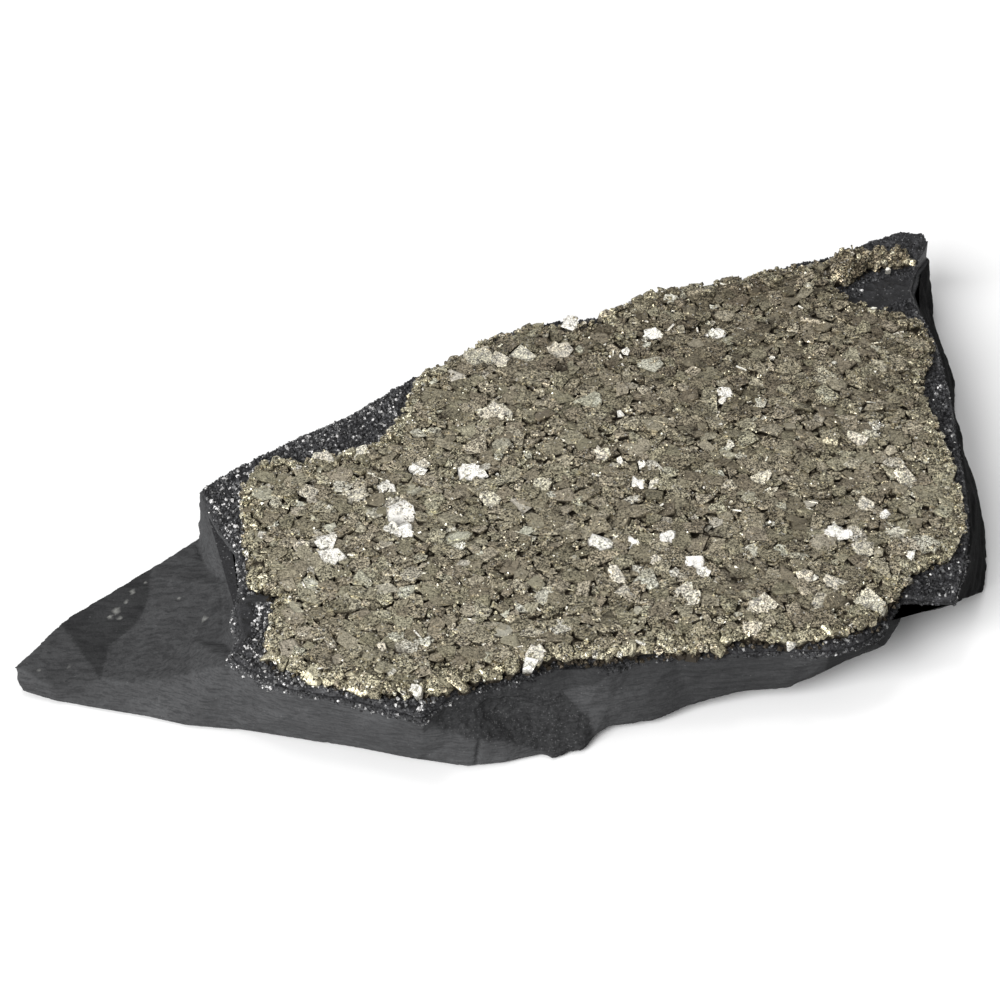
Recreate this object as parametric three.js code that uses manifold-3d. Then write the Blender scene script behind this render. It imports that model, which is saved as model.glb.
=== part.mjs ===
// Pyrite on basalt: a flat slab of dark basalt with a pointed tongue on its left, a thin druse of tiny dark
// crystals over its top, and a crust of intergrown pyrite crystals on the druse.
// Millimetres, +Z up, the slab resting on its flat underside at Z = 0, its length along X.

import * as THREE from "three";
import { ConvexGeometry } from "three/addons/geometries/ConvexGeometry.js";
import { mergeVertices } from "three/addons/utils/BufferGeometryUtils.js";
import Module from "manifold-3d";

// Heights
const slabTop = 30;          // flat top of the basalt
const seam = 0.3;            // clearance where one mineral sits on another
const druseBed = 2.4;        // thickness of the even bed of dark crystals
const crustBed = 2.2;        // thickness of the pyrite between its larger crystals
const crustRise = 3.4;       // how far the larger pyrite crystals stand above that
const knobRise = 7;          // how much higher the pyrite knob stands, near the back right corner

// Underside
const restInset = 3;         // width of the broken edge round the flat underside, where the foot is low
const undercutSlope = 1.2;   // run of the undercut for each millimetre that the foot is raised
const slabCentre = [40, -10];

// Broken side faces
const bellySeed = 3;
const bellySwell = [-1.2, 2.6];  // how far a side face stands in or out of straight, half way down

// Pyrite crystals
const crystalPitch = 14.2;   // spacing of the larger crystals
const crystalSize = [9.5, 14];
const crystalMargin = 6.5;   // how far inside the crust's edge a larger crystal is centred
const borderPitch = 12.5;    // spacing of the smaller crystals that border the crust
const borderSize = [7, 10];
const borderInset = 2.6;
const borderOverhang = 1.5;  // how far the bordering crystals may stand past the edge
const crystalSeed = 11;

// Druse
const druseInset = 0.7;      // how far the druse stops short of the slab's top edge
const druseBevel = 1.6;      // slope of the druse's own edge
const lumpSeed = 5;
const lumpCount = 22;
const lumpSize = [5, 9];

// Edge of the slab, counterclockwise from the front left corner: the top edge [x, y] at slabTop,
// and the foot [x, y, z] below it, where the side face ends and the underside begins. A belly [x, y, z]
// between them is a ridge that the side face has there; elsewhere the face swells at random.
const slabEdge = [
  { top: [-111, -123], foot: [-112, -130, 1] },
  { top: [-90, -139], foot: [-88, -135, 1] },
  { top: [-61, -147], foot: [-60, -141, 1] },
  { top: [-36, -156], belly: [-36, -153, 20], foot: [-38, -147, 1] },
  { top: [-24, -143], belly: [-22, -149.5, 16], foot: [-20, -151, 1] },
  { top: [-8, -134], belly: [-6, -148, 10], foot: [-4, -148.5, 1] },
  { top: [14, -126], belly: [14, -141, 5], foot: [17, -142, 1] },
  { top: [20, -123], belly: [25, -133, 14], foot: [28, -137, 2] },
  { top: [35, -128], foot: [35, -131, 3] },
  { top: [46, -122], foot: [52, -128, 3] },
  { top: [60, -120], foot: [68, -121, 5] },
  { top: [78, -121], foot: [86, -117, 8] },
  { top: [103, -118], foot: [105, -116, 9] },
  { top: [120, -119], foot: [120, -111, 14] },
  { top: [131, -115], foot: [132, -108, 18] },
  { top: [137, -111], foot: [143, -104, 21] },
  { top: [145, -96], foot: [149, -91, 22] },
  { top: [149, -89], foot: [153, -86, 24] },
  { top: [171, -91], foot: [172, -86, 26] },
  { top: [177, -72], foot: [189, -52, 3] },
  { top: [182, -48], foot: [193, -36, 2] },
  { top: [184, -20], foot: [195, -12, 2] },
  { top: [184, 14], foot: [195, 14, 2] },
  { top: [185, 36], foot: [188, 38, 4] },
  { top: [184, 56], foot: [190, 60, 4] },
  { top: [183, 76], foot: [193.5, 84, 4] },
  { top: [178, 100], foot: [192, 104, 4] },
  { top: [176, 115], foot: [189.5, 120, 4] },
  { top: [180, 130], foot: [189, 133, 4] },
  { top: [186, 141], foot: [190, 148, 4] },
  { top: [184, 147], foot: [186, 157, 3] },
  { top: [171, 147.5], foot: [171, 155, 3] },
  { top: [156, 147], foot: [158, 151, 3] },
  { top: [143, 142], foot: [143, 149, 2] },
  { top: [122, 135], foot: [121, 139, 2] },
  { top: [100, 124.5], foot: [98, 132, 2] },
  { top: [77, 119], foot: [75, 123, 2] },
  { top: [54, 110.5], foot: [50, 117, 2] },
  { top: [44, 105], foot: [38, 110, 2] },
  { top: [38, 96], foot: [32, 103, 2] },
  { top: [13, 91.5], foot: [10, 95, 2] },
  { top: [-8, 85], foot: [-12, 90, 2] },
  { top: [-15, 79], foot: [-21, 84, 2] },
  { top: [-25, 67], foot: [-31, 72, 2] },
  { top: [-41, 56], foot: [-46, 61, 2] },
  { top: [-50, 48.5], foot: [-56, 54, 2] },
  { top: [-70, 28], foot: [-76, 33, 2] },
  { top: [-82, 20], foot: [-87, 25, 2] },
  { top: [-98, 7.5], foot: [-103, 12, 2] },
  { top: [-123, -13.5], belly: [-125, -12.5, 15], foot: [-128, -10.5, 2] },
  { top: [-130, -22], belly: [-130.7, -23, 14], foot: [-131, -24, 1] },
  { top: [-127, -32], belly: [-128.5, -34, 15], foot: [-131, -37, 1] },
  { top: [-121, -46], foot: [-127, -51, 1] },
  { top: [-113, -60], foot: [-121, -66, 1] },
  { top: [-109, -80], foot: [-119, -85, 1] },
  { top: [-111, -95], foot: [-119, -100, 1] },
  { top: [-108, -110], foot: [-116, -117, 1] },
];

// The tongue, a broken shelf lower than the slab: its facets' corners, and the facets between them.
const tongueCorners = {
  beak: [-195, -110, 6],
  tip: [-197, -106, 11],
  brow: [-182, -113, 8],
  chin: [-163, -111, 9],
  jaw: [-146, -115, 12],
  cheek: [-127, -119, 20],
  corner: [-111, -124, 29.5],
  back: [-181, -81, 12],
  hump: [-149, -53, 15],
  nape: [-131, -30, 12],
  fold: [-163, -100, 9],
  valley: [-161, -92, 10],
  slope: [-151, -82, 12],
  rib: [-147, -68, 14],
  hollow: [-129, -92, 15],
  wall: [-122, -64, 17],
  rootBack: [-100, -27, 12],
  rootMid: [-98, -70, 24],
  rootFront: [-96, -118, 28],
};
const tongueFacets = [
  "beak brow tip", "brow chin fold", "brow fold back", "brow back tip", "chin jaw fold", "fold jaw valley",
  "fold valley back", "valley slope back", "slope rib back", "rib hump back", "valley jaw slope",
  "jaw cheek hollow", "jaw hollow slope", "cheek corner hollow", "slope hollow rib", "rib hollow wall",
  "rib wall hump", "wall nape hump", "hollow corner rootFront", "hollow rootFront rootMid",
  "hollow rootMid wall", "wall rootMid rootBack", "wall rootBack nape",
];
// Edge of the tongue, counterclockwise, and the foot [x, y, z] under each corner of it.
const tongueEdge = {
  beak: [-194, -110, 2],
  brow: [-179, -115.5, 1],
  chin: [-163, -119.5, 1],
  jaw: [-144, -124, 1],
  cheek: [-130, -128.5, 1],
  corner: [-110, -131, 1],
  rootFront: [-94, -124, 1],
  rootMid: [-92, -70, 1],
  rootBack: [-94, -24, 1],
  nape: [-129, -26, 1],
  hump: [-147.5, -47, 1],
  back: [-179, -76, 2],
  tip: [-194, -104, 4],
};
const tongueCentre = [-135, -88];

// Conchoidal hollows broken out of the slab: centre, radii and turn (degrees about X, Y, Z).
const hollows = [
  { centre: [2, -151, 19], radii: [25, 17, 10], turn: [0, 16, 8] },      // dark scoop in the front face
  { centre: [158, -104, 10], radii: [24, 26, 14], turn: [0, 0, 0] },     // under the front right corner
];

// A bare step on the left where the druse has flaked away: centre and size.
const bareStep = { centre: [-103, -88], size: [16, 7] };

// The raised corner of the druse at the back right: corners of its base and of its crest.
const hornCorners = [
  [143, 140, 31], [156, 145, 31], [184, 145.5, 31], [185, 141, 31], [180, 129.5, 31], [160, 135.5, 31],
  [153, 143.5, 36], [160, 145, 38], [171, 146, 41.5], [182, 145.5, 42.5], [184.5, 141, 41],
  [179, 133, 37], [163, 137.5, 36.5],
];
const hornClearance = 1.1;   // growth of the raised corner where the pyrite is cut clear of it

// Edge of the pyrite crust, counterclockwise from the front left.
const crustEdge = [
  [-97, -126], [-80, -138], [-55, -146], [-33, -147], [-22, -142], [-4, -134], [11, -128], [36, -126],
  [51, -124], [77, -122], [83, -117], [100, -118], [120, -116], [138, -108], [144, -96], [156, -79],
  [173, -66], [179, -52], [180, -30], [177, 5], [172, 36], [173, 46], [180, 70], [177, 84], [171, 90],
  [157, 96], [146, 104], [139, 112], [148, 117], [156, 127], [169, 129.5], [179, 131], [172, 137],
  [154, 137], [142, 132], [121, 123], [99, 114], [65, 104], [46, 95], [38, 86], [12, 80], [-13, 69],
  [-23, 56], [-41, 44], [-47, 29], [-54, 8], [-63, -1], [-85, -8], [-104, -11], [-112, -24],
  [-111, -44], [-107.5, -69], [-106, -84], [-94.5, -92], [-96, -107],
];
// Crystals of the knob and of the ridge near the back right corner, which stand above the rest: [x, y, size].
const knobCrystals = [[147, 129, 15], [154, 131, 13], [162, 133, 11], [170, 132.5, 10], [145, 122, 12]];

const degrees = Math.PI / 180;
const druseTop = slabTop + seam + druseBed;
const crustFloor = druseTop + seam;
const crustTop = crustFloor + crustBed;

// A repeatable stream of numbers from 0 to 1.
function stream(seed) {
  let state = seed;
  return () => {
    state = (state * 1664525 + 1013904223) % 4294967296;
    return state / 4294967296;
  };
}

const between = (range, share) => range[0] + (range[1] - range[0]) * share;

const wasm = await Module();
wasm.setup();

function solidOf(geometry) {
  const bare = geometry.clone();
  bare.deleteAttribute("normal");
  bare.deleteAttribute("uv");
  const merged = mergeVertices(bare, 1e-4);
  const mesh = new wasm.Mesh({
    numProp: 3,
    vertProperties: new Float32Array(merged.attributes.position.array),
    triVerts: new Uint32Array(merged.index.array),
  });
  return new wasm.Manifold(mesh);
}

function geometryOf(solid) {
  const mesh = solid.getMesh();
  const geometry = new THREE.BufferGeometry();
  geometry.setAttribute("position", new THREE.BufferAttribute(mesh.vertProperties, 3));
  geometry.setIndex(new THREE.BufferAttribute(mesh.triVerts, 1));
  geometry.computeVertexNormals();
  return geometry;
}

function indexed(points, faces) {
  const geometry = new THREE.BufferGeometry();
  geometry.setAttribute("position", new THREE.Float32BufferAttribute(points.flat(), 3));
  geometry.setIndex(faces.flat());
  return geometry;
}

// Triangles that fill a closed edge, seen counterclockwise from above.
function fill(edge) {
  const contour = edge.map(([x, y]) => new THREE.Vector2(x, y));
  return THREE.ShapeUtils.triangulateShape(contour, []);
}

// A solid with the same number of points in each of its closed rings, from the lowest to the highest.
function stacked(rings) {
  const count = rings[0].length;
  const faces = fill(rings[0]).map(([a, b, c]) => [a, c, b]);
  for (let level = 0; level < rings.length - 1; level += 1) {
    for (let i = 0; i < count; i += 1) {
      const low = level * count + i;
      const lowNext = level * count + ((i + 1) % count);
      faces.push([low, lowNext, lowNext + count]);
      faces.push([low, lowNext + count, low + count]);
    }
  }
  const top = (rings.length - 1) * count;
  fill(rings[rings.length - 1]).forEach(([a, b, c]) => faces.push([top + a, top + b, top + c]));
  return solidOf(indexed(rings.flat(), faces));
}

// The foot's point moved towards the middle of the underside, onto the surface that the slab stands on.
function restPoint([x, y, z], [cx, cy]) {
  const reach = Math.hypot(x - cx, y - cy);
  const share = 1 - (restInset + undercutSlope * z) / reach;
  return [cx + (x - cx) * share, cy + (y - cy) * share, 0];
}

// A closed edge moved inwards by a distance, corner by corner.
function inset(edge, distance) {
  return edge.map(([x, y], i) => {
    const [px, py] = edge[(i + edge.length - 1) % edge.length];
    const [nx, ny] = edge[(i + 1) % edge.length];
    const along = new THREE.Vector2(nx - px, ny - py).normalize();
    return [x - along.y * distance, y + along.x * distance];
  });
}

const lifted = (edge, z) => edge.map(([x, y]) => [x, y, z]);

function ellipsoid({ centre, radii, turn }) {
  const ball = new THREE.IcosahedronGeometry(1, 1);
  ball.scale(...radii);
  ball.applyMatrix4(new THREE.Matrix4().makeRotationFromEuler(
    new THREE.Euler(turn[0] * degrees, turn[1] * degrees, turn[2] * degrees),
  ));
  ball.translate(...centre);
  return solidOf(ball);
}

function makeTongue() {
  const names = Object.keys(tongueCorners);
  const edgeNames = Object.keys(tongueEdge);
  const tops = names.map((name) => tongueCorners[name]);
  const feet = edgeNames.map((name) => tongueEdge[name]);
  const rests = feet.map((foot) => restPoint(foot, tongueCentre));
  const footAt = tops.length;
  const restAt = footAt + feet.length;
  const faces = tongueFacets.map((facet) => facet.split(" ").map((name) => names.indexOf(name)));
  edgeNames.forEach((name, i) => {
    const next = (i + 1) % edgeNames.length;
    const top = names.indexOf(name);
    const topNext = names.indexOf(edgeNames[next]);
    faces.push([footAt + i, footAt + next, topNext], [footAt + i, topNext, top]);
    faces.push([restAt + i, restAt + next, footAt + next], [restAt + i, footAt + next, footAt + i]);
  });
  fill(rests).forEach(([a, b, c]) => faces.push([restAt + a, restAt + c, restAt + b]));
  return solidOf(indexed([...tops, ...feet, ...rests], faces));
}

function makeSlab() {
  const random = stream(bellySeed);
  const feet = slabEdge.map(({ foot }) => foot);
  const rests = feet.map((foot) => restPoint(foot, slabCentre));
  const tops = lifted(slabEdge.map(({ top }) => top), slabTop);
  const centre = new THREE.Vector3(...slabCentre, 0);
  const bellies = slabEdge.map(({ belly }, i) => {
    const middle = new THREE.Vector3(...tops[i]).lerp(new THREE.Vector3(...feet[i]), between([0.4, 0.6], random()));
    const outwards = middle.clone().sub(centre).setZ(0).normalize();
    return belly ?? middle.addScaledVector(outwards, between(bellySwell, random())).toArray();
  });
  let slab = stacked([rests, feet, bellies, tops]).add(makeTongue());
  hollows.forEach((hollow) => {
    slab = slab.subtract(ellipsoid(hollow));
  });
  return slab;
}

function makeHorn(growth) {
  const corners = hornCorners.map((corner) => new THREE.Vector3(...corner));
  const middle = new THREE.Vector3();
  corners.forEach((corner) => middle.addScaledVector(corner, 1 / corners.length));
  const grown = corners.map((corner) => corner.sub(middle).multiplyScalar(growth).add(middle));
  return solidOf(new ConvexGeometry(grown));
}

function makeDruse() {
  const random = stream(lumpSeed);
  const edge = inset(slabEdge.map(({ top }) => top), druseInset);
  const floor = slabTop + seam;
  let druse = stacked([lifted(edge, floor), lifted(edge, floor + 0.9), lifted(inset(edge, druseBevel), druseTop)]);
  const rim = inset(edge, druseBevel + 2);
  for (let i = 0; i < lumpCount; i += 1) {
    const [x, y] = rim[Math.floor((i + random()) * rim.length / lumpCount) % rim.length];
    const reach = between(lumpSize, random());
    const lump = ellipsoid({
      centre: [x, y, floor + 0.6],
      radii: [reach * 0.5, reach * 0.5, druseBed * 0.72],
      turn: [0, 0, random() * 180],
    });
    druse = druse.add(lump);
  }
  druse = druse.add(makeHorn(1));
  const keep = stacked([lifted(edge, floor), lifted(edge, druseTop + 20)]);
  const step = new THREE.BoxGeometry(...bareStep.size, 20);
  step.translate(...bareStep.centre, floor + druseBed);
  return druse.intersect(keep).subtract(solidOf(step));
}

// True where a point lies inside a closed edge, at least a margin away from it.
function insideBy([x, y], edge, margin) {
  let inside = false;
  let nearest = Infinity;
  edge.forEach(([ax, ay], i) => {
    const [bx, by] = edge[(i + 1) % edge.length];
    if ((ay > y) !== (by > y) && x < ax + ((bx - ax) * (y - ay)) / (by - ay)) {
      inside = !inside;
    }
    const length = (bx - ax) ** 2 + (by - ay) ** 2;
    const share = Math.min(1, Math.max(0, ((x - ax) * (bx - ax) + (y - ay) * (by - ay)) / length));
    nearest = Math.min(nearest, Math.hypot(x - ax - share * (bx - ax), y - ay - share * (by - ay)));
  });
  return inside && nearest >= margin;
}

// One blocky crystal, turned at random, with its highest corner at the given height.
function crystal(x, y, size, height, random) {
  const block = new THREE.BoxGeometry(size, size * between([0.75, 1.1], random()), size * between([0.7, 1], random()));
  const tilt = new THREE.Euler(between([-0.5, 0.5], random()), between([-0.5, 0.5], random()), random() * Math.PI);
  block.applyMatrix4(new THREE.Matrix4().makeRotationFromEuler(tilt));
  block.computeBoundingBox();
  block.translate(x, y, height - block.boundingBox.max.z);
  return solidOf(block);
}

// Points along a closed edge, a pitch apart.
function paced(edge, pitch) {
  const points = [];
  let carried = 0;
  edge.forEach(([ax, ay], i) => {
    const [bx, by] = edge[(i + 1) % edge.length];
    const length = Math.hypot(bx - ax, by - ay);
    let along = carried;
    while (along < length) {
      points.push([ax + ((bx - ax) * along) / length, ay + ((by - ay) * along) / length]);
      along += pitch;
    }
    carried = along - length;
  });
  return points;
}

function makeCrust() {
  const random = stream(crystalSeed);
  const crystals = [];
  const box = new THREE.Box2().setFromPoints(crustEdge.map(([x, y]) => new THREE.Vector2(x, y)));
  const rowPitch = crystalPitch * Math.sqrt(0.75);
  const jitter = () => (random() - 0.5) * crystalPitch * 0.5;
  let shift = 0;
  for (let y = box.min.y; y < box.max.y; y += rowPitch) {
    for (let x = box.min.x + shift; x < box.max.x; x += crystalPitch) {
      const place = [x + jitter(), y + jitter()];
      if (insideBy(place, crustEdge, crystalMargin)) {
        const size = between(crystalSize, random());
        crystals.push(crystal(...place, size, crustTop + crustRise * between([0.55, 1], random()), random));
      }
    }
    shift = crystalPitch / 2 - shift;
  }
  paced(inset(crustEdge, borderInset), borderPitch).forEach(([x, y]) => {
    const size = between(borderSize, random());
    crystals.push(crystal(x, y, size, crustTop + crustRise * between([0.1, 0.6], random()), random));
  });
  knobCrystals.forEach(([x, y, size], i) => {
    const fall = 1 - i / knobCrystals.length;
    crystals.push(crystal(x, y, size, crustTop + crustRise + knobRise * fall, random));
  });
  const bed = stacked([lifted(crustEdge, crustFloor), lifted(inset(crustEdge, 0.8), crustTop)]);
  const outer = inset(crustEdge, -borderOverhang);
  const room = stacked([lifted(outer, crustFloor), lifted(outer, crustFloor + 30)]);
  return wasm.Manifold.union([bed, ...crystals]).intersect(room).subtract(makeHorn(hornClearance));
}

function piece(name, solid, colour, roughness, metalness) {
  const material = new THREE.MeshStandardMaterial({ color: colour, roughness, metalness, flatShading: true });
  const mesh = new THREE.Mesh(geometryOf(solid), material);
  mesh.name = name;
  return mesh;
}

const specimen = new THREE.Group();
specimen.add(piece("basalt_slab", makeSlab(), 0x4a4a4b, 0.85, 0));
specimen.add(piece("dark_druse", makeDruse(), 0x2b2b2d, 0.6, 0.1));
specimen.add(piece("pyrite_crust", makeCrust(), 0x83796a, 0.4, 0.8));

// The origin is below the middle of the specimen, on the surface that it stands on.
const middle = new THREE.Box3().setFromObject(specimen).getCenter(new THREE.Vector3());
specimen.position.set(-middle.x, -middle.y, 0);

export default specimen;
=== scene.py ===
import math
from itertools import combinations, product

import bpy
import numpy as np
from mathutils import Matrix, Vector
from mathutils.bvhtree import BVHTree
from mathutils.geometry import tessellate_polygon


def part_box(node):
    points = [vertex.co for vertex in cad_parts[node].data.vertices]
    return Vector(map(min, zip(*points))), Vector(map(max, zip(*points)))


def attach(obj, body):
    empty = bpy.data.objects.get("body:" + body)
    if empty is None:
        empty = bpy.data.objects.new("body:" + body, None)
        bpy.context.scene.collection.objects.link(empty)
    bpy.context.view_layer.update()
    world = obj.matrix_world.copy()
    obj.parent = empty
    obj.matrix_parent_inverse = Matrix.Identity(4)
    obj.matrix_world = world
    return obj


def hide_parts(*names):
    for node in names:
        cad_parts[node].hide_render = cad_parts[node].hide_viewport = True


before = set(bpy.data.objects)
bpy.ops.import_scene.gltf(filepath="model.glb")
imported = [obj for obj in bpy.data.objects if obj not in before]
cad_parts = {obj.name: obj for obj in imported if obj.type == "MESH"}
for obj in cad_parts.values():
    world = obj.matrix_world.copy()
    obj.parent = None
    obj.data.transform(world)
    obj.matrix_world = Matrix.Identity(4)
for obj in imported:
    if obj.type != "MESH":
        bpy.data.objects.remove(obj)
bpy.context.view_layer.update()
scene = bpy.context.scene
mm = 0.001

# The outlines below are drawn in millimetres about their own origin. This moves them onto the slab.
drawnLow = (-197, -156)
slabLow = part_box("basalt_slab")[0]
shift = np.array([slabLow.x / mm - drawnLow[0], slabLow.y / mm - drawnLow[1], 0.0])

# Top edge of the slab, counterclockwise from its front left corner.
slabRim = [
    (-111, -123), (-90, -139), (-61, -147), (-36, -156), (-24, -143), (-8, -134), (14, -126), (20, -123),
    (35, -128), (46, -122), (60, -120), (78, -121), (103, -118), (120, -119), (131, -115), (137, -111),
    (145, -96), (149, -89), (171, -91), (177, -72), (182, -48), (184, -20), (184, 14), (185, 36),
    (184, 56), (183, 76), (178, 100), (176, 115), (180, 130), (186, 141), (184, 147), (171, 147.5),
    (156, 147), (143, 142), (122, 135), (100, 124.5), (77, 119), (54, 110.5), (44, 105), (38, 96), (13, 91.5),
    (-8, 85), (-15, 79), (-25, 67), (-41, 56), (-50, 48.5), (-70, 28), (-82, 20), (-98, 7.5), (-123, -13.5),
    (-130, -22), (-127, -32), (-121, -46), (-113, -60), (-109, -80), (-111, -95), (-108, -110),
]
# Edge of the pyrite crust on it.
crustRim = [
    (-97, -126), (-80, -138), (-55, -146), (-33, -147), (-22, -142), (-4, -134), (11, -128), (36, -126),
    (51, -124), (77, -122), (83, -117), (100, -118), (120, -116), (138, -108), (144, -96), (156, -79),
    (173, -66), (179, -52), (180, -30), (177, 5), (172, 36), (173, 46), (180, 70), (177, 84), (171, 90),
    (157, 96), (146, 104), (139, 112), (148, 117), (156, 127), (169, 129.5), (179, 131), (172, 137),
    (154, 137), (142, 133), (120, 127), (98, 118.5), (64, 109), (50, 101), (44, 95), (36, 87), (22, 84),
    (10, 84), (-13, 73), (-26, 61), (-42, 48), (-47, 29), (-54, 8), (-63, -1), (-85, -8),
    (-104, -11), (-112, -24),
    (-111, -44), (-107.5, -69), (-106, -84), (-94.5, -92), (-96, -107),
]


# Noise and outlines, for arrays of points in millimetres

def hashed(cells, seed):
    # A repeatable number from 0 to 1 for each whole-numbered cell.
    mixed = cells.astype(np.int64) @ np.array([73856093, 19349663, 83492791]) + seed * 2654435761
    for factor, bits in ((2246822519, 15), (3266489917, 13)):
        mixed = mixed & 0xFFFFFFFF
        mixed = (mixed ^ (mixed >> bits)) * factor
    return ((mixed >> 8) & 0xFFFFFF) / 0xFFFFFF


def softNoise(points, size, seed):
    # Smooth noise from -1 to 1, with lumps of about this size.
    grid = points / np.asarray(size, float)
    cell = np.floor(grid)
    part = grid - cell
    part = part * part * (3 - 2 * part)
    total = np.zeros(len(points))
    for corner in product((0, 1), repeat=3):
        weight = np.where(np.array(corner) == 1, part, 1 - part).prod(axis=1)
        total += weight * hashed(cell + corner, seed)
    return total * 2 - 1


def layeredNoise(points, size, layers, seed):
    # Noise with finer and weaker copies of itself on top.
    total = np.zeros(len(points))
    for layer in range(layers):
        total += softNoise(points, np.asarray(size, float) / 2 ** layer, seed + layer) / 2 ** layer
    return total


def scallops(points, size, seed):
    # Shell-shaped hollows that meet in sharp ridges, as in broken stone: 0 in a hollow, up to 1 on a ridge.
    cell = np.floor(points / size)
    nearest = np.full(len(points), 9.0)
    for step in product((-1, 0, 1), repeat=3):
        corner = cell + step
        spot = np.stack([hashed(corner, seed + axis) for axis in range(3)], axis=1)
        nearest = np.minimum(nearest, ((points / size - corner - spot) ** 2).sum(axis=1))
    return np.clip(nearest, 0, 1)


def flatOf(points):
    return points * (1, 1, 0) if points.shape[1] == 3 else np.column_stack([points, np.zeros(len(points))])


def boxOf(edge):
    return np.min(edge, axis=0), np.max(edge, axis=0)


def sidesOf(edge):
    # The corners of a closed edge, and the way from each to the next.
    start = np.array(edge, float)
    return start, np.roll(start, -1, axis=0) - start


def edgeDistance(points, edge):
    # How far each point lies inside a closed edge, less than 0 outside it.
    start, side = sidesOf(edge)
    found = []
    for part in np.array_split(np.asarray(points, float)[:, :2], max(1, len(points) // 20000)):
        offset = part[:, None] - start
        share = np.clip((offset * side).sum(axis=2) / (side ** 2).sum(axis=1), 0, 1)
        distance = np.linalg.norm(offset - share[..., None] * side, axis=2).min(axis=1)
        rises = (offset[..., 1] < 0) != (offset[..., 1] - side[:, 1] < 0)
        slope = np.where(side[:, 1] == 0, 1, side[:, 1])
        crossed = rises & (offset[..., 0] < offset[..., 1] * side[:, 0] / slope)
        found.append(np.where(crossed.sum(axis=1) % 2 == 1, distance, -distance))
    return np.concatenate(found)


def ramp(values, low, high):
    # A smooth rise from 0 at low to 1 at high.
    share = np.clip((values - low) / (high - low), 0, 1)
    return share * share * (3 - 2 * share)


def nearSpots(points, spots, wobble, near, far):
    # 1 on any of the spots, 0 off them. Each is given by X, Y and its size, or its sizes along both.
    found = np.zeros(len(points))
    for x, y, *size in spots:
        away = np.linalg.norm((points[:, :2] - (x, y)) / size, axis=1)
        found = np.maximum(found, 1 - ramp(away + wobble, near, far))
    return found


# Meshes

def addPiece(name, points, faces, material, node, smooth=False, values=None, flatMap=True):
    # Makes an object of triangles from points in millimetres, with named values on its points.
    mesh = bpy.data.meshes.new(name)
    mesh.vertices.add(len(points))
    mesh.vertices.foreach_set("co", ((points + shift) * mm).astype(np.float32).ravel())
    mesh.loops.add(faces.size)
    mesh.loops.foreach_set("vertex_index", faces.astype(np.int32).ravel())
    mesh.polygons.add(len(faces))
    mesh.polygons.foreach_set("loop_start", np.arange(0, faces.size, 3, dtype=np.int32))
    mesh.update(calc_edges=True)
    mesh.validate()
    mesh.polygons.foreach_set("use_smooth", np.full(len(mesh.polygons), smooth))
    for key, numbers in (values or {}).items():
        mesh.attributes.new(key, "FLOAT", "POINT").data.foreach_set("value", numbers.astype(np.float32))
    if flatMap:
        addFlatMap(mesh)
    mesh.materials.append(material)
    piece = bpy.data.objects.new(name, mesh)
    scene.collection.objects.link(piece)
    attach(piece, "root")
    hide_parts(node)
    print("made", name, len(mesh.polygons), "triangles")
    return piece


def addFlatMap(mesh):
    # A map seen from above, for baking.
    spots = np.empty(len(mesh.vertices) * 3, np.float32)
    mesh.vertices.foreach_get("co", spots)
    spots = spots.reshape(-1, 3)[:, :2]
    spots = (spots - spots.min(axis=0)) / np.ptp(spots, axis=0)
    corners = np.empty(len(mesh.loops), np.int32)
    mesh.loops.foreach_get("vertex_index", corners)
    mesh.uv_layers.new(name="OFBake").uv.foreach_set("vector", spots[corners].ravel())


def readMesh(mesh):
    # A mesh's points in drawn millimetres and its triangles.
    points = np.empty(len(mesh.vertices) * 3)
    mesh.vertices.foreach_get("co", points)
    mesh.calc_loop_triangles()
    faces = np.empty(len(mesh.loop_triangles) * 3, np.int32)
    mesh.loop_triangles.foreach_get("vertices", faces)
    return points.reshape(-1, 3) / mm - shift, faces.reshape(-1, 3)


def pointNormals(points, faces):
    # The direction in which the surface faces at each point.
    corners = points[faces]
    across = np.cross(corners[:, 1] - corners[:, 0], corners[:, 2] - corners[:, 0])
    normals = np.zeros_like(points)
    for axis in range(3):
        for corner in range(3):
            normals[:, axis] += np.bincount(faces[:, corner], across[:, axis], len(points))
    return normals / np.maximum(np.linalg.norm(normals, axis=1, keepdims=True), 1e-12)


def smoothed(points, faces):
    # Moves each point half way to the middle of its neighbours.
    edges = np.concatenate([faces[:, [0, 1]], faces[:, [1, 2]], faces[:, [2, 0]]])
    count = np.maximum(np.bincount(edges[:, 0], minlength=len(points)), 1)
    middle = [np.bincount(edges[:, 0], points[edges[:, 1], axis], len(points)) for axis in range(3)]
    return points + (np.stack(middle, axis=1) / count[:, None] - points) * 0.5


def ringsOf(edges):
    # The rings of points that the edges form, end to end.
    follows = {}
    for start, end in edges.tolist():
        follows.setdefault(start, []).append(end)
    rings = []
    while follows:
        first = point = next(iter(follows))
        ring = []
        while not ring or point != first:
            ring.append(point)
            ends = follows[point]
            point = ends.pop()
            if not ends:
                del follows[ring[-1]]
        rings.append(ring)
    return rings


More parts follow.
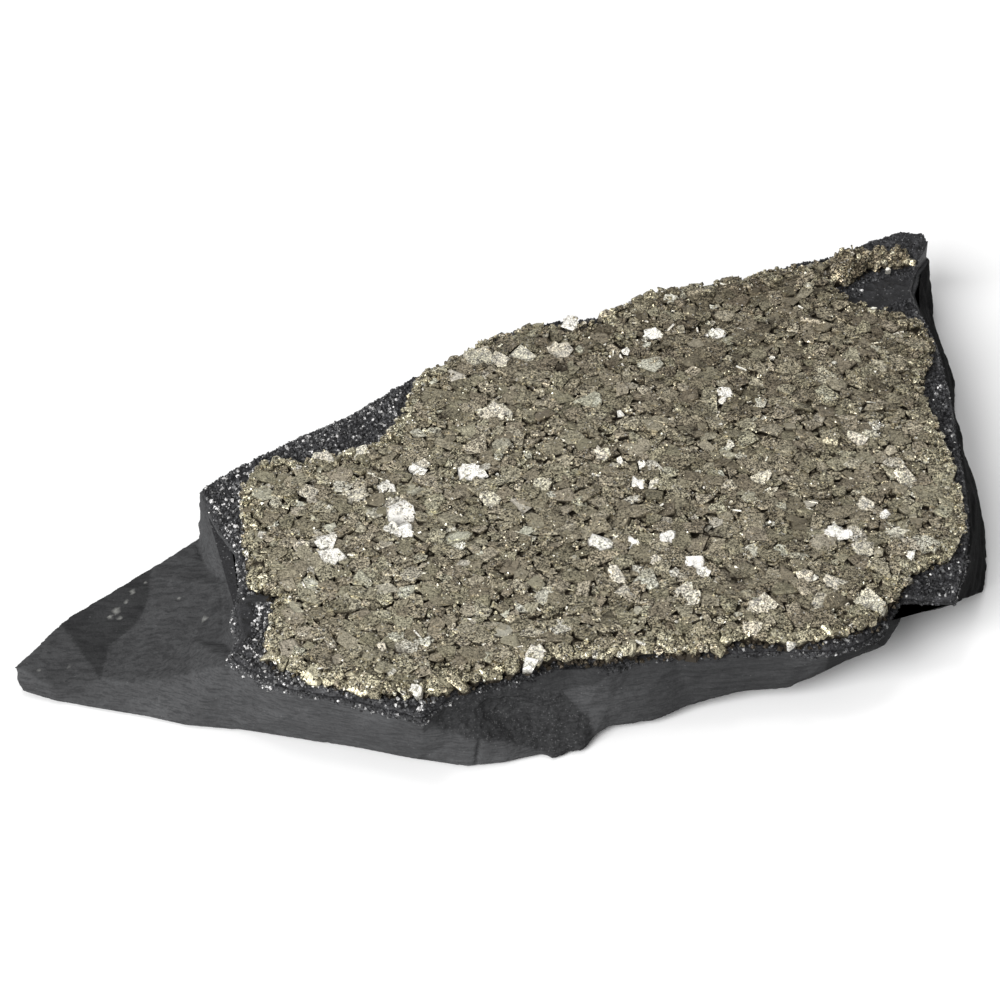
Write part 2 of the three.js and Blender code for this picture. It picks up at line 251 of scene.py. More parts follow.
def shell(pitch, inside, topOf, floorHeight, jitter, seed):
    # A closed sheet over the slab. Its top is a fine grid that follows a function of the points' places, its
    # rim is evened out, and its floor is flat.
    rng = np.random.default_rng(seed)
    axes = [np.arange(low - pitch, high + pitch, pitch) for low, high in zip(*boxOf(slabRim))]
    spots = np.stack(np.meshgrid(*axes, indexing="ij"), axis=-1)
    spots += rng.uniform(-jitter, jitter, spots.shape) * pitch
    held = inside(spots.reshape(-1, 2)).reshape(spots.shape[:2])
    cells = held[:-1, :-1] & held[1:, :-1] & held[1:, 1:] & held[:-1, 1:]
    used = np.zeros(held.shape, bool)
    for a, b in product((0, 1), repeat=2):
        used[a:a + cells.shape[0], b:b + cells.shape[1]] |= cells
    index = np.full(held.shape, -1)
    index[used] = np.arange(used.sum())
    flat = spots[used]
    a, b, c, d = (index[:-1, :-1][cells], index[1:, :-1][cells], index[1:, 1:][cells], index[:-1, 1:][cells])
    padded = np.pad(cells, 1)
    border = []
    for start, end, beside in ((a, b, padded[1:-1, :-2]), (b, c, padded[2:, 1:-1]),
                               (c, d, padded[1:-1, 2:]), (d, a, padded[:-2, 1:-1])):
        bare = ~beside[cells]
        border.append(np.stack([start[bare], end[bare]], 1))
    border = np.concatenate(border)
    footed = np.unique(border)
    under = np.zeros(len(flat), int)
    under[footed] = len(flat) + np.arange(len(footed))
    start, end = border.T
    rings = ringsOf(border)
    for ring, _ in product(rings, range(4)):
        flat[ring] = flat[ring] / 2 + (np.roll(flat[ring], 1, axis=0) + np.roll(flat[ring], -1, axis=0)) / 4
    order = np.concatenate(rings)
    floor = np.array(tessellate_polygon([[(*flat[i], 0) for i in ring] for ring in rings]))
    floor = order[floor]
    across, along = flat[floor[:, 1]] - flat[floor[:, 0]], flat[floor[:, 2]] - flat[floor[:, 0]]
    upward = across[:, 0] * along[:, 1] - across[:, 1] * along[:, 0] > 0
    floor[upward] = floor[upward][:, ::-1]
    points = np.concatenate([np.column_stack([flat, topOf(flat)]),
                             np.column_stack([flat[footed], np.full(len(footed), floorHeight)])])
    return points, np.concatenate([np.stack([a, b, c], 1), np.stack([a, c, d], 1),
                                   np.stack([start, under[start], under[end]], 1),
                                   np.stack([start, under[end], end], 1), under[floor]])


def castDown(tree, spots):
    # Height of the first surface under each place, nan where there is none.
    heights = np.full(len(spots), np.nan)
    above = 80.0                  # a height over everything
    for i, (x, y) in enumerate(spots):
        place = tree.ray_cast(Vector((x, y, above)), Vector((0, 0, -1)))[0]
        if place is not None:
            heights[i] = place.z
    return heights


def treeOf(*parts):
    # One search tree over several sets of points and triangles.
    starts = np.cumsum([0] + [len(points) for points, _ in parts])
    points = np.concatenate([points for points, _ in parts])
    faces = np.concatenate([faces + start for (_, faces), start in zip(parts, starts)])
    return BVHTree.FromPolygons(points.tolist(), faces.tolist())


# Crystals

def cutSolid(normals, distances):
    # The solid that a set of planes leaves, as points and triangles.
    triples = np.array(list(combinations(range(len(normals)), 3)))
    squares = normals[triples]
    firm = abs(np.linalg.det(squares)) > 1e-4
    points = np.linalg.solve(squares[firm], distances[triples[firm]][..., None])[..., 0]
    points = points[(points @ normals.T <= distances + 1e-6).all(axis=1)]
    points = np.unique(points.round(4), axis=0)
    faces = {}
    for normal, distance in zip(normals, distances):
        ring = np.flatnonzero(abs(points @ normal - distance) < 2e-3)
        if len(ring) < 3:
            continue
        middle = points[ring].mean(axis=0)
        across = points[ring[0]] - middle
        away = points[ring] - middle
        angles = np.arctan2(away @ np.cross(normal, across), away @ across * np.linalg.norm(normal))
        ring = ring[np.argsort(angles)]
        for i in range(1, len(ring) - 1):
            face = (ring[0], ring[i], ring[i + 1])
            faces.setdefault(tuple(sorted(face)), face)  # a sliver that lies on two planes is kept once
    return points, np.array(list(faces.values()))


def signed(triple):
    # A crystal form: every change of sign and every turn of a triple of indices, as unit normals.
    found = set()
    for turn in range(3):
        turned = triple[turn:] + triple[:turn]
        for signs in product((-1, 1), repeat=3):
            found.add(tuple(a * b for a, b in zip(turned, signs)))
    normals = np.array(sorted(found), float)
    return normals / np.linalg.norm(normals, axis=1, keepdims=True)


def crystalShapes(rng, count, forms):
    # Different crystals of about unit half size. Each form gives its planes and how far out they lie.
    shapes = []
    for _ in range(count):
        normals, distances = [], []
        for triple, near, far in forms:
            planes = signed(triple)
            normals.append(planes)
            distances.append(rng.uniform(near, far, len(planes)))
        shapes.append(cutSolid(np.concatenate(normals), np.concatenate(distances)))
    return shapes


def facetBlocks(rng, count, corners, bevels):
    # Low blocks with a flat top of so many corners, whose edges are cut by small slanting faces and
    # whose sharpest corners are blunt.
    blocks = []
    for _ in range(count):
        sides = rng.choice(corners)
        angles = (np.arange(sides) + rng.uniform(-0.34, 0.34, sides)) * 2 * np.pi / sides
        lean = rng.uniform(-0.3, 0.2, sides)
        walls = np.stack([np.cos(angles), np.sin(angles), lean], axis=1)
        cuts = np.stack([np.cos(angles), np.sin(angles), rng.uniform(0.8, 1.6, sides)], axis=1)
        around = np.arange(7) * 2 * np.pi / 7 + rng.uniform(0, 1)
        blunt = np.stack([np.cos(around), np.sin(around), np.zeros(7)], axis=1)
        normals = np.concatenate([[(0, 0, 1), (0, 0, -1)], walls, cuts, blunt])
        normals = normals / np.linalg.norm(normals, axis=1, keepdims=True)
        reach = rng.uniform(0.62, 1.08, sides) * (0.8 if sides == 3 else 1)
        corner = np.stack([np.cos(angles) * reach, np.sin(angles) * reach, np.ones(sides)], axis=1)
        wall = (corner * normals[2:2 + sides]).sum(axis=1)
        cut = (corner * normals[2 + sides:2 + 2 * sides]).sum(axis=1)
        cut -= rng.choice(bevels, sides)
        blocks.append(cutSolid(normals, np.concatenate([[1.0, 1.0], wall, cut, rng.uniform(1.1, 1.35, 7)])))
    return blocks


def turnsTo(facing, spins):
    # Turns that bring a crystal's upper face to each direction, with a spin about it.
    helper = np.where(abs(facing[:, [2]]) > 0.9, [[1.0, 0, 0]], [[0, 0, 1.0]])
    first = np.cross(helper, facing)
    first /= np.linalg.norm(first, axis=1, keepdims=True)
    second = np.cross(facing, first)
    cosine, sine = np.cos(spins)[:, None], np.sin(spins)[:, None]
    return np.stack([first * cosine + second * sine, second * cosine - first * sine, facing], axis=2)


def tilted(rng, count, spread, most):
    # Directions scattered about straight up. The spread and the most that they lean are in degrees.
    lean = np.radians(np.minimum(abs(rng.normal(0, spread, count)), most))
    way = rng.uniform(0, 2 * np.pi, count)
    return np.stack([np.sin(lean) * np.cos(way), np.sin(lean) * np.sin(way), np.cos(lean)], axis=1)


def stamp(shapes, picks, places, turns, sizes):
    # Joins one copy of a shape for each place. Also says which crystal each point belongs to,
    # and whether it lies round the upper face.
    points, faces, owner, crowns = [], [], [], []
    start = 0
    for number, (corners, sides) in enumerate(shapes):
        chosen = np.flatnonzero(picks == number)
        if not len(chosen):
            continue
        scaled = corners[None] * sizes[chosen][:, None]
        moved = np.einsum("nij,nmj->nmi", turns[chosen], scaled) + places[chosen][:, None]
        points.append(moved.reshape(-1, 3))
        offsets = start + np.arange(len(chosen)) * len(corners)
        faces.append((sides[None] + offsets[:, None, None]).reshape(-1, 3))
        owner.append(np.repeat(chosen, len(corners)))
        crowns.append(np.tile(corners[:, 2] > 0.97 * corners[:, 2].max(), len(chosen)))
        start += len(chosen) * len(corners)
    return np.concatenate(points), np.concatenate(faces), np.concatenate(owner), np.concatenate(crowns)


def perPoint(owner, **numbers):
    # Each crystal's numbers, given to all of its points.
    return {key: values[owner] for key, values in numbers.items()}


# Nodes

def put(tree, kind, sockets=None, **settings):
    # Adds a node. A socket given another node's output is linked, and any other value is set on it.
    made = tree.nodes.new(kind)
    for key, value in settings.items():
        setattr(made, key, value)
    for key, value in (sockets or {}).items():
        if isinstance(value, bpy.types.NodeSocket):
            tree.links.new(value, made.inputs[key])
        else:
            made.inputs[key].default_value = value
    return made


def maths(tree, operation, first, second, third=None, clamp=False):
    sockets = {0: first, 1: second}
    if third is not None:
        sockets[2] = third
    return put(tree, "ShaderNodeMath", sockets, operation=operation, use_clamp=clamp).outputs[0]


def blendColours(tree, factor, first, second, mode="MIX"):
    # Each colour is another node's output, or three numbers.
    first, second = [(*colour, 1) if isinstance(colour, tuple) else colour for colour in (first, second)]
    sockets = {0: factor, 6: first, 7: second}
    return put(tree, "ShaderNodeMix", sockets, data_type="RGBA", blend_type=mode).outputs[2]


def multiplied(tree, colour, other):
    return blendColours(tree, 1.0, colour, other, "MULTIPLY")


def laidOver(tree, colour, mask, share, other):
    return blendColours(tree, maths(tree, "MULTIPLY", mask, share), colour, other)


def colourRamp(tree, factor, stops):
    made = put(tree, "ShaderNodeValToRGB", {"Fac": factor})
    made.color_ramp.interpolation = "EASE"
    band = made.color_ramp.elements
    while len(band) < len(stops):
        band.new(0.5)
    for element, (place, colour) in zip(band, stops):
        element.position = place
        element.color = (*colour, 1)
    return made.outputs["Color"]


def newGroup(name, inputs, outputs):
    # A shader group that is given a place and named numbers and gives named numbers back, and the sockets
    # that stand for them inside it.
    tree = bpy.data.node_groups.new(name, "ShaderNodeTree")
    tree.interface.new_socket("Vector", in_out="INPUT", socket_type="NodeSocketVector")
    for key, value in inputs.items():
        tree.interface.new_socket(key, in_out="INPUT", socket_type="NodeSocketFloat").default_value = value
    for key in outputs:
        tree.interface.new_socket(key, in_out="OUTPUT", socket_type="NodeSocketFloat")
    return tree, tree.nodes.new("NodeGroupInput").outputs, tree.nodes.new("NodeGroupOutput").inputs


def texture(tree, kind, given, scale=None, **sockets):
    # A texture inside a group, at the group's own scale if none is given.
    sockets = {"Vector": given["Vector"], "Scale": scale or given["Scale"], **sockets}
    return put(tree, "ShaderNodeTex" + kind, sockets).outputs


def channel(tree, colour, number):
    return put(tree, "ShaderNodeSeparateColor", {"Color": colour}).outputs[number]


def makeGrain():
    # Fine grain in a stone or on a crystal's face: a tone about 1, and a height for a bump.
    tree, given, out = newGroup("fineGrain", {"Scale": 900.0, "Contrast": 0.3}, ("Tone", "Height"))
    fine = texture(tree, "Noise", given, Detail=3.0, Roughness=0.7)["Fac"]
    cell = channel(tree, texture(tree, "Voronoi", given)["Color"], 0)
    mixed = maths(tree, "MULTIPLY_ADD", cell, 0.45, fine)
    centred = maths(tree, "SUBTRACT", mixed, 0.72)
    tree.links.new(maths(tree, "MULTIPLY_ADD", centred, given["Contrast"], 1.0), out["Tone"])
    tree.links.new(mixed, out["Height"])
    return tree


def makeSpeckle():
    # Crisp small grains, each of its own lightness: a tone about 1, each grain's own number, and a height.
    numbers = {"Scale": 1000.0, "Contrast": 1.5}
    tree, given, out = newGroup("crispSpeckle", numbers, ("Tone", "Cell", "Height"))
    large = texture(tree, "Voronoi", given)["Color"]
    small = texture(tree, "Voronoi", given, maths(tree, "MULTIPLY", given["Scale"], 1.7))["Color"]
    cloud = texture(tree, "Noise", given, maths(tree, "MULTIPLY", given["Scale"], 0.3), Detail=2.0)["Fac"]
    cell = channel(tree, large, 0)
    bit = channel(tree, small, 1)
    mixed = maths(tree, "MULTIPLY_ADD", cell, 0.48, maths(tree, "MULTIPLY", bit, 0.52))
    mixed = maths(tree, "MULTIPLY_ADD", cloud, 0.5, mixed)
    centred = maths(tree, "MULTIPLY_ADD", maths(tree, "SUBTRACT", mixed, 0.75), given["Contrast"], 1.0)
    tree.links.new(maths(tree, "MAXIMUM", centred, 0.12), out["Tone"])
    tree.links.new(cell, out["Cell"])
    tree.links.new(mixed, out["Height"])
    return tree


def makeMottle():
    # Broad, soft patches, from 0 to 1.
    tree, given, out = newGroup("softMottle", {"Scale": 40.0, "Sharpness": 2.0}, ("Mask",))
    cloud = texture(tree, "Noise", given, Detail=4.0, Roughness=0.55)["Fac"]
    centred = maths(tree, "SUBTRACT", cloud, 0.5)
    tree.links.new(maths(tree, "MULTIPLY_ADD", centred, given["Sharpness"], 0.5, clamp=True), out["Mask"])
    return tree


def makeFleck():
    # Scattered small bright spots: 1 on a spot, 0 between them.
    tree, given, out = newGroup("brightFleck", {"Scale": 700.0, "Share": 0.05}, ("Mask",))
    cells = texture(tree, "Voronoi", given)
    chosen = maths(tree, "LESS_THAN", channel(tree, cells["Color"], 1), given["Share"])
    core = maths(tree, "SUBTRACT", 1.0, maths(tree, "MULTIPLY", cells["Distance"], 1.6), clamp=True)
    tree.links.new(maths(tree, "MULTIPLY", chosen, core), out["Mask"])
    return tree


grainGroup = makeGrain()
speckleGroup = makeSpeckle()
mottleGroup = makeMottle()
fleckGroup = makeFleck()


def useGroup(tree, group, **sockets):
    return put(tree, "ShaderNodeGroup", sockets, node_tree=group).outputs


def attribute(tree, name):
    return put(tree, "ShaderNodeAttribute", attribute_name=name).outputs["Fac"]


def newMaterial(name):
    material = bpy.data.materials.new(name)
    material.use_nodes = True
    tree = material.node_tree
    surface = tree.nodes["Principled BSDF"]
    place = put(tree, "ShaderNodeTexCoord").outputs["Object"]
    return material, tree, surface, place


def feed(tree, surface, colour, roughness, height, bumpDistance, bumpStrength):
    # Links a material's colour, roughness and bump to its surface.
    bump = put(tree, "ShaderNodeBump", {"Strength": bumpStrength, "Distance": bumpDistance, "Height": height})
    tree.links.new(colour, surface.inputs["Base Color"])
    tree.links.new(roughness, surface.inputs["Roughness"])
    tree.links.new(bump.outputs["Normal"], surface.inputs["Normal"])


# Basalt

basalt = {
    "voxel": 0.72,                # edge of the cubes that the slab is rebuilt from
    "mostFaces": 150000,
    "swell": (24.0, 0.35),        # size and height of its broad unevenness
    "shells": ((11.0, 0.42), (4.5, 0.2)),    # size and height of the shell-shaped breaks
    "ledges": (26.0, 3.4, 0.38),  # length, thickness and height of the thin ledges in the side faces
    "hollows": (21.0, 2.4),       # size and depth of the shell-shaped hollows in the back
    "grit": (1.7, 0.14),
    "chips": (6.5, 1.1),          # size and depth of the chips along the foot
    # The rough hollow broken out of the front, painted darker as shade, by its edge seen from the front:
    # along X, and height.
    "scoop": [(-38, 31), (-36, 29.5), (-30, 20), (-21, 14.5), (-8, 11), (3, 5.4), (12, 1.5), (14, -1),
              (29.5, -1), (28, 9.6), (23.7, 14), (20.6, 17.6), (16, 20.8), (8, 24), (-1, 26), (-9, 28.4),
              (-16, 30.5), (-24, 31)],
    "scoopGrit": ((6.5, 1.2), (2.3, 0.8), (1.1, 0.3)),
    # The smooth bluish face over the hollow, in the same way. It is painted darker as shade.
    "lens": [(-16, 31), (-9, 28.4), (-1, 26), (8, 24), (16, 20.8), (22, 20.5), (31, 25.5), (36, 31)],
    "ripples": {"from": (-108, -76), "apart": 7.5, "height": 0.11},
    # The broken foot under the hollow stands out: where it starts and ends along X, and how far it reaches.
    "toe": {"starts": (8, 15), "ends": (25, 30), "below": (5, 13), "front": (127, 136), "reach": 4.2,
            "lumps": (6.5, 3.4)},
    "cracks": [                   # the path of each crack, and its depth
        ([(-14.6, -148.8, 13), (-15.4, -149.6, 7.7), (-15.8, -150.3, 1)], 1.1),
        ([(-162.7, -110.6, 9.1), (-156.9, -114.3, 8.3), (-148.9, -117.4, 8), (-140.4, -120.8, 8)], 0.6),
        ([(-130.8, -34.9, 12.7), (-127.4, -46.1, 14.4)], 0.4),
        ([(-118.2, -69.8, 18.1), (-117.4, -80, 19), (-116.1, -92.5, 19.4)], 0.4),
    ],
    "dark": (0.037, 0.037, 0.038),
    "pale": (0.083, 0.084, 0.086),
    "streak": (0.012, 0.012, 0.013),
    "crumb": (0.24, 0.24, 0.24),
    "scar": (0.2, 0.2, 0.19),
    "scales": {"grain": 1300.0, "patch": 38.0, "layers": 60.0, "streak": 150.0, "crumb": 1800.0},
    "bump": (0.00025, 0.7),       # its distance and strength
    "roughness": 0.8,
    "specular": 0.05,
    # Painted shade: how much darker the right side, the front at the right, the face over the hollow and the
    # hollow are made.
    "paintedShade": {"right": 0.93, "front": 0.32, "lens": 0.38, "scoop": 0.42},
    "seed": 21,
}
# Faces broken at different times, by their edge seen from above, and how bright each is beside the rest.
stoneFaces = [
    ([(-186, -78), (-176, -66), (-163, -56), (-148, -46), (-147.4, -67), (-149.1, -76), (-151.4, -82.5),
      (-156.5, -87.8), (-161.6, -93.1), (-162.2, -104), (-163.1, -110.5), (-168.8, -100.9), (-172.9, -94),
      (-177.6, -86.4)], 0.58),
    ([(-161.6, -93.1), (-151.4, -82.5), (-148.9, -97.1), (-146.5, -114.2), (-158.2, -112),
      (-162.2, -103.9)], 0.9),
    ([(-146.5, -114.2), (-148.9, -97.1), (-151.4, -82.5), (-147.4, -67), (-146.2, -48), (-131, -27),
      (-127.4, -46), (-118, -68), (-111, -90), (-110, -110), (-111, -123), (-121, -116.8),
      (-129, -115)], 1.0),
    ([(119.5, -125), (119, -104), (127, -85), (150, -78), (172, -78), (180, -95), (150, -125)], 0.5),
]
# Small pale scars on the tongue: place and size.
chalkSpots = [(-160, -75, 1.5), (-162.5, -78.5, 1.3), (-156.5, -71, 1.1), (-154, -65, 0.9), (-158, -79, 0.8),
              (-150, -60, 0.8), (-135, -70, 0.7), (-124, -84, 0.8), (-176, -104, 0.6), (-187, -106, 0.7)]


def basaltMaterial():
    material, tree, surface, place = newMaterial("basaltStone")
    # The stone's tone, which carries painted shade on the right side, the front at the right and the hollow.
    bright = attribute(tree, "tone")
    fresh = attribute(tree, "fresh")
    chalk = attribute(tree, "chalk")
    scales = basalt["scales"]
    grain = useGroup(tree, grainGroup, Vector=place, Scale=scales["grain"],
                     Contrast=maths(tree, "MULTIPLY_ADD", fresh, 0.5, 0.42))
    patch = useGroup(tree, mottleGroup, Vector=place, Scale=scales["patch"], Sharpness=2.0)
    flat = put(tree, "ShaderNodeMapping", {"Vector": place, "Scale": (1.0, 4.0, 11.0)}).outputs["Vector"]
    layers = useGroup(tree, mottleGroup, Vector=flat, Scale=scales["layers"], Sharpness=2.6)
    streak = useGroup(tree, mottleGroup, Vector=flat, Scale=scales["streak"], Sharpness=9.0)
    crumb = useGroup(tree, fleckGroup, Vector=place, Scale=scales["crumb"],
                     Share=maths(tree, "MULTIPLY_ADD", fresh, 0.09, 0.003))
    tone = maths(tree, "MULTIPLY_ADD", layers["Mask"], 0.35, maths(tree, "MULTIPLY", patch["Mask"], 0.65))
    colour = blendColours(tree, tone, basalt["dark"], basalt["pale"])
    colour = multiplied(tree, colour, grain["Tone"])
    colour = multiplied(tree, colour, bright)
    thin = maths(tree, "SUBTRACT", 0.3, streak["Mask"], clamp=True)
    colour = blendColours(tree, thin, colour, basalt["streak"])
    colour = laidOver(tree, colour, crumb["Mask"], 0.38, basalt["crumb"])
    colour = blendColours(tree, chalk, colour, basalt["scar"])
    height = maths(tree, "MULTIPLY_ADD", layers["Mask"], 0.8, grain["Height"])
    roughness = maths(tree, "MULTIPLY_ADD", patch["Mask"], 0.14, basalt["roughness"])
    feed(tree, surface, colour, roughness, height, *basalt["bump"])
    surface.inputs["Specular IOR Level"].default_value = basalt["specular"]
    return material


def onFront(points, edge, blur):
    # 1 inside an edge drawn on the front of the slab, as seen from the front.
    inside = edgeDistance(points[:, [0, 2]], edge) + layeredNoise(points, 7, 2, 71) * 0.9
    return ramp(inside, -blur, blur) * (1 - ramp(points[:, 1], -120, -112))


def lineDistance(points, line):
    # Distance from each point to a path through space.
    line = np.array(line, float)
    nearest = np.full(len(points), 1e3)
    for start, end in zip(line[:-1], line[1:]):
        side = end - start
        share = np.clip((points - start) @ side / (side @ side), 0, 1)
        nearest = np.minimum(nearest, np.linalg.norm(points - start - share[:, None] * side, axis=1))
    return nearest


def stoneTone(points, normals):
    # How bright the stone is, beside its usual grey: broken faces differ, and painted shade darkens the right
    # side, the front at the right, the smooth face over the hollow and the hollow.
    tone = np.ones(len(points))
    wobble = softNoise(points, 4, 61) * 0.5
    for edge, bright in stoneFaces:
        inside = ramp(edgeDistance(points, edge) + wobble, -0.4, 0.4)
        tone *= 1 - inside * (1 - bright)
    paintedShade = basalt["paintedShade"]
    # Painted shade: the side that faces right is made nearly black.
    tone *= 1 - paintedShade["right"] * ramp(normals[:, 0], 0.3, 0.6) * ramp(points[:, 0], 150, 160)
    # Painted shade: faces toward the front at the right, the face over the hollow and the hollow are darker.
    front = (1 - ramp(points[:, 1], -112, -104)) * ramp(-normals[:, 1], 0.2, 0.5)
    tone *= 1 - paintedShade["front"] * front * ramp(points[:, 0], 20, 60)
    tone *= 1 - paintedShade["lens"] * onFront(points, basalt["lens"], 0.5)
    return tone * (1 - paintedShade["scoop"] * onFront(points, basalt["scoop"], 0.6))


def chalkiness(points):
    # 1 on the small pale scars of the tongue.
    wobble = layeredNoise(points, 1.6, 2, 63) * 0.55
    return nearSpots(points, chalkSpots, wobble, 0.5, 0.9) * ramp(points[:, 2], 4, 6)


def remade(mesh, *modifiers):
    # The points and triangles that a spare mesh has after the modifiers, each given by its kind and settings.
    work = bpy.data.objects.new("work", mesh)
    scene.collection.objects.link(work)
    for kind, settings in modifiers:
        modifier = work.modifiers.new(kind, kind)
        for key, value in settings.items():
            setattr(modifier, key, value)
    made = bpy.data.meshes.new_from_object(work.evaluated_get(bpy.context.evaluated_depsgraph_get()))
    points, faces = readMesh(made)
    bpy.data.objects.remove(work)
    bpy.data.meshes.remove(made)
    bpy.data.meshes.remove(mesh)
    return points, faces


def makeBasalt():
    weld = ("WELD", {"merge_threshold": 0.01 * mm})
    rebuild = ("REMESH", {"mode": "VOXEL", "voxel_size": basalt["voxel"] * mm})
    points, faces = remade(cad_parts["basalt_slab"].data.copy(), weld, rebuild)
    points = smoothed(points, faces)
    normals = pointNormals(points, faces)
    seed = basalt["seed"]
    hidden = ramp(edgeDistance(points, crustRim), 1, 4) * ramp(points[:, 2], 28, 29.5)
    underside = 1 - ramp(points[:, 2], 0.2, 3)
    upright = 1 - ramp(abs(normals[:, 2]), 0.55, 0.9)
    tongue = 1 - ramp(points[:, 0], -128, -112)
    fresh = onFront(points, basalt["scoop"], 1.2)
    size, height = basalt["swell"]
    push = layeredNoise(points, size, 2, seed) * height * (1 - 0.6 * tongue)
    for number, (size, height) in enumerate(basalt["shells"]):
        push += (scallops(points, size, seed + 10 * number) - 0.4) * height * (1 - 0.6 * tongue)
    length, thickness, height = basalt["ledges"]
    ledge = softNoise(points, (length, length, thickness), seed + 30)
    push += np.tanh(ledge * 4) * height * upright
    size, depth = basalt["hollows"]
    back = ramp(normals[:, 1], 0.2, 0.6) * (1 - ramp(points[:, 2], 22, 28.5)) * ramp(points[:, 1], -20, 10)
    push -= (1 - scallops(points, size, seed + 35)) * depth * back * (1 - tongue)
    size, height = basalt["grit"]
    push += softNoise(points, size, seed + 40) * height
    for number, (size, height) in enumerate(basalt["scoopGrit"]):
        push += (scallops(points, size, seed + 50 + 10 * number) - 0.5) * height * fresh
    ripples = basalt["ripples"]
    reach = np.linalg.norm(points[:, :2] - ripples["from"], axis=1)
    wave = np.sin(reach * 2 * np.pi / ripples["apart"] + softNoise(points, 14, seed + 90) * 2)
    rippled = ramp(edgeDistance(points, stoneFaces[2][0]), 0, 4) * ramp(points[:, 2], 6, 9)
    push += wave * ripples["height"] * rippled
    for line, depth in basalt["cracks"]:
        away = lineDistance(points, line) + softNoise(points, 2.5, seed + 95) * 0.4
        push -= depth * (1 - ramp(away, 0.2, 1.1))
    upper = ramp(points[:, 2], 28.5, 29.8) * ramp(normals[:, 2], 0.6, 0.9)
    push *= (1 - hidden) * (1 - underside) * (1 - 0.6 * upper)
    size, depth = basalt["chips"]
    foot = (1 - ramp(points[:, 2], 2.5, 8)) * ramp(points[:, 2], 0.1, 1) * upright
    push -= np.maximum(scallops(points, size, seed + 97) - 0.35, 0) * depth * foot
    points = points + normals * push[:, None]
    toe = basalt["toe"]
    share = ramp(points[:, 0], *toe["starts"]) * (1 - ramp(points[:, 0], *toe["ends"]))
    share *= (1 - ramp(points[:, 2], *toe["below"])) * ramp(-points[:, 1], *toe["front"])
    size, height = toe["lumps"]
    points[:, 1] -= share * (toe["reach"] + (scallops(flatOf(points), size, seed + 98) - 0.4) * height)
    points[:, 2] = np.where(underside > 0.999, 0.0, np.maximum(points[:, 2], 0.0))
    mesh = bpy.data.meshes.new("slab")
    mesh.from_pydata(((points + shift) * mm).tolist(), [], faces.tolist())
    points, faces = remade(mesh, ("DECIMATE", {"ratio": min(1.0, basalt["mostFaces"] / len(faces))}))
    values = {"fresh": onFront(points, basalt["scoop"], 0.6),
              "tone": stoneTone(points, pointNormals(points, faces)),
              "chalk": chalkiness(points)}
    addPiece("basalt_rock", points, faces, basaltMaterial(), "basalt_slab", smooth=True,
             flatMap=False, values=values)
    return points, faces


# Druse of small dark crystals

druse = {
    "pitch": 0.8,
    "underlap": 4.0,              # how far the bed reaches in under the pyrite
    "lumps": ((6.5, 0.55), (2.6, 0.35)),
    "grains": 11500,
    "grainHalf": (0.3, 0.8),
    "rimGrains": 1100,            # grains that hang over the upper edge of the front
    "speckle": 1.9,               # how strong the speckle on them is
    "top": 31.0,                  # height of its top where the solid has none
    "floor": 29.0,
    "tones": [(0.0, (0.010, 0.010, 0.011)), (0.55, (0.050, 0.050, 0.053)), (0.8, (0.13, 0.13, 0.13)),
              (1.0, (0.62, 0.61, 0.60))],
    "paintedGlint": (0.6, 0.6, 0.6),
    "scale": 1500.0,              # of the speckle and the painted glints
    "bump": (0.0002, 0.6),
    "specular": 0.22,
    "paintedLightLeft": 0.26,             # painted light: how much paler its grains are at the left, where more light falls
    "seed": 51,
}
# Smooth bare places: centre and half sizes.
bareSpots = [(167, 115, 13, 9), (155, 106, 11, 4.5), (-108, -103, 6.5, 17), (-101, -88, 8, 4.5)]


def bareness(spots):
    # 1 in the middle of a bare place, 0 outside them.
    return nearSpots(spots, bareSpots, layeredNoise(flatOf(spots), 5, 2, 59) * 0.18, 0.8, 1.1)


def onHorn(spots):
    # 1 on the corner that stands up at the back right.
    return ramp(spots[:, 0], 150, 168) * ramp(spots[:, 1], 98, 112)


def druseMaterial():
    material, tree, surface, place = newMaterial("darkDruse")
    tone = attribute(tree, "tone")
    strength = attribute(tree, "grain")
    grain = useGroup(tree, speckleGroup, Vector=place, Scale=druse["scale"], Contrast=strength)
    # Painted glints: small bright spots, more on the paler grains.
    paintedGlint = useGroup(tree, fleckGroup, Vector=place, Scale=druse["scale"],
                     Share=maths(tree, "MULTIPLY_ADD", tone, 0.13, 0.02))
    colour = multiplied(tree, colourRamp(tree, tone, druse["tones"]), grain["Tone"])
    colour = laidOver(tree, colour, paintedGlint["Mask"], 0.4, druse["paintedGlint"])
    roughness = maths(tree, "MULTIPLY_ADD", tone, -0.2, 0.5)
    feed(tree, surface, colour, roughness, grain["Height"], *druse["bump"])
    surface.inputs["Specular IOR Level"].default_value = druse["specular"]
    return material


def druseBed():
    cad = treeOf(readMesh(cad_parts["dark_druse"].data))

    def inside(spots):
        reached = edgeDistance(spots, crustRim) < druse["underlap"]
        held = reached & (edgeDistance(spots, slabRim) > 0.5)
        held[held] = ~np.isnan(castDown(cad, spots[held]))
        return held

    def top(spots):
        heights = castDown(cad, spots)
        heights = np.where(np.isnan(heights), druse["top"], heights)
        flat = flatOf(spots)
        bare = bareness(spots)
        rough = np.zeros(len(spots))
        for number, (size, height) in enumerate(druse["lumps"]):
            rough += layeredNoise(flat, size, 2, druse["seed"] + number) * height
        cluster = np.maximum(scallops(flat, 4.5, 57) - 0.3, 0) * 1.6
        lobes = (0.5 - scallops(flat, 5.5, 58)) * 1.5 * onHorn(spots)
        return heights - 0.5 + (rough + lobes) * (1 - bare) + (0.2 + cluster) * bare

    points, faces = shell(druse["pitch"], inside, top, druse["floor"], 0.25, 3)
    points[:, 2] = np.maximum(points[:, 2], druse["floor"])
    return points, faces


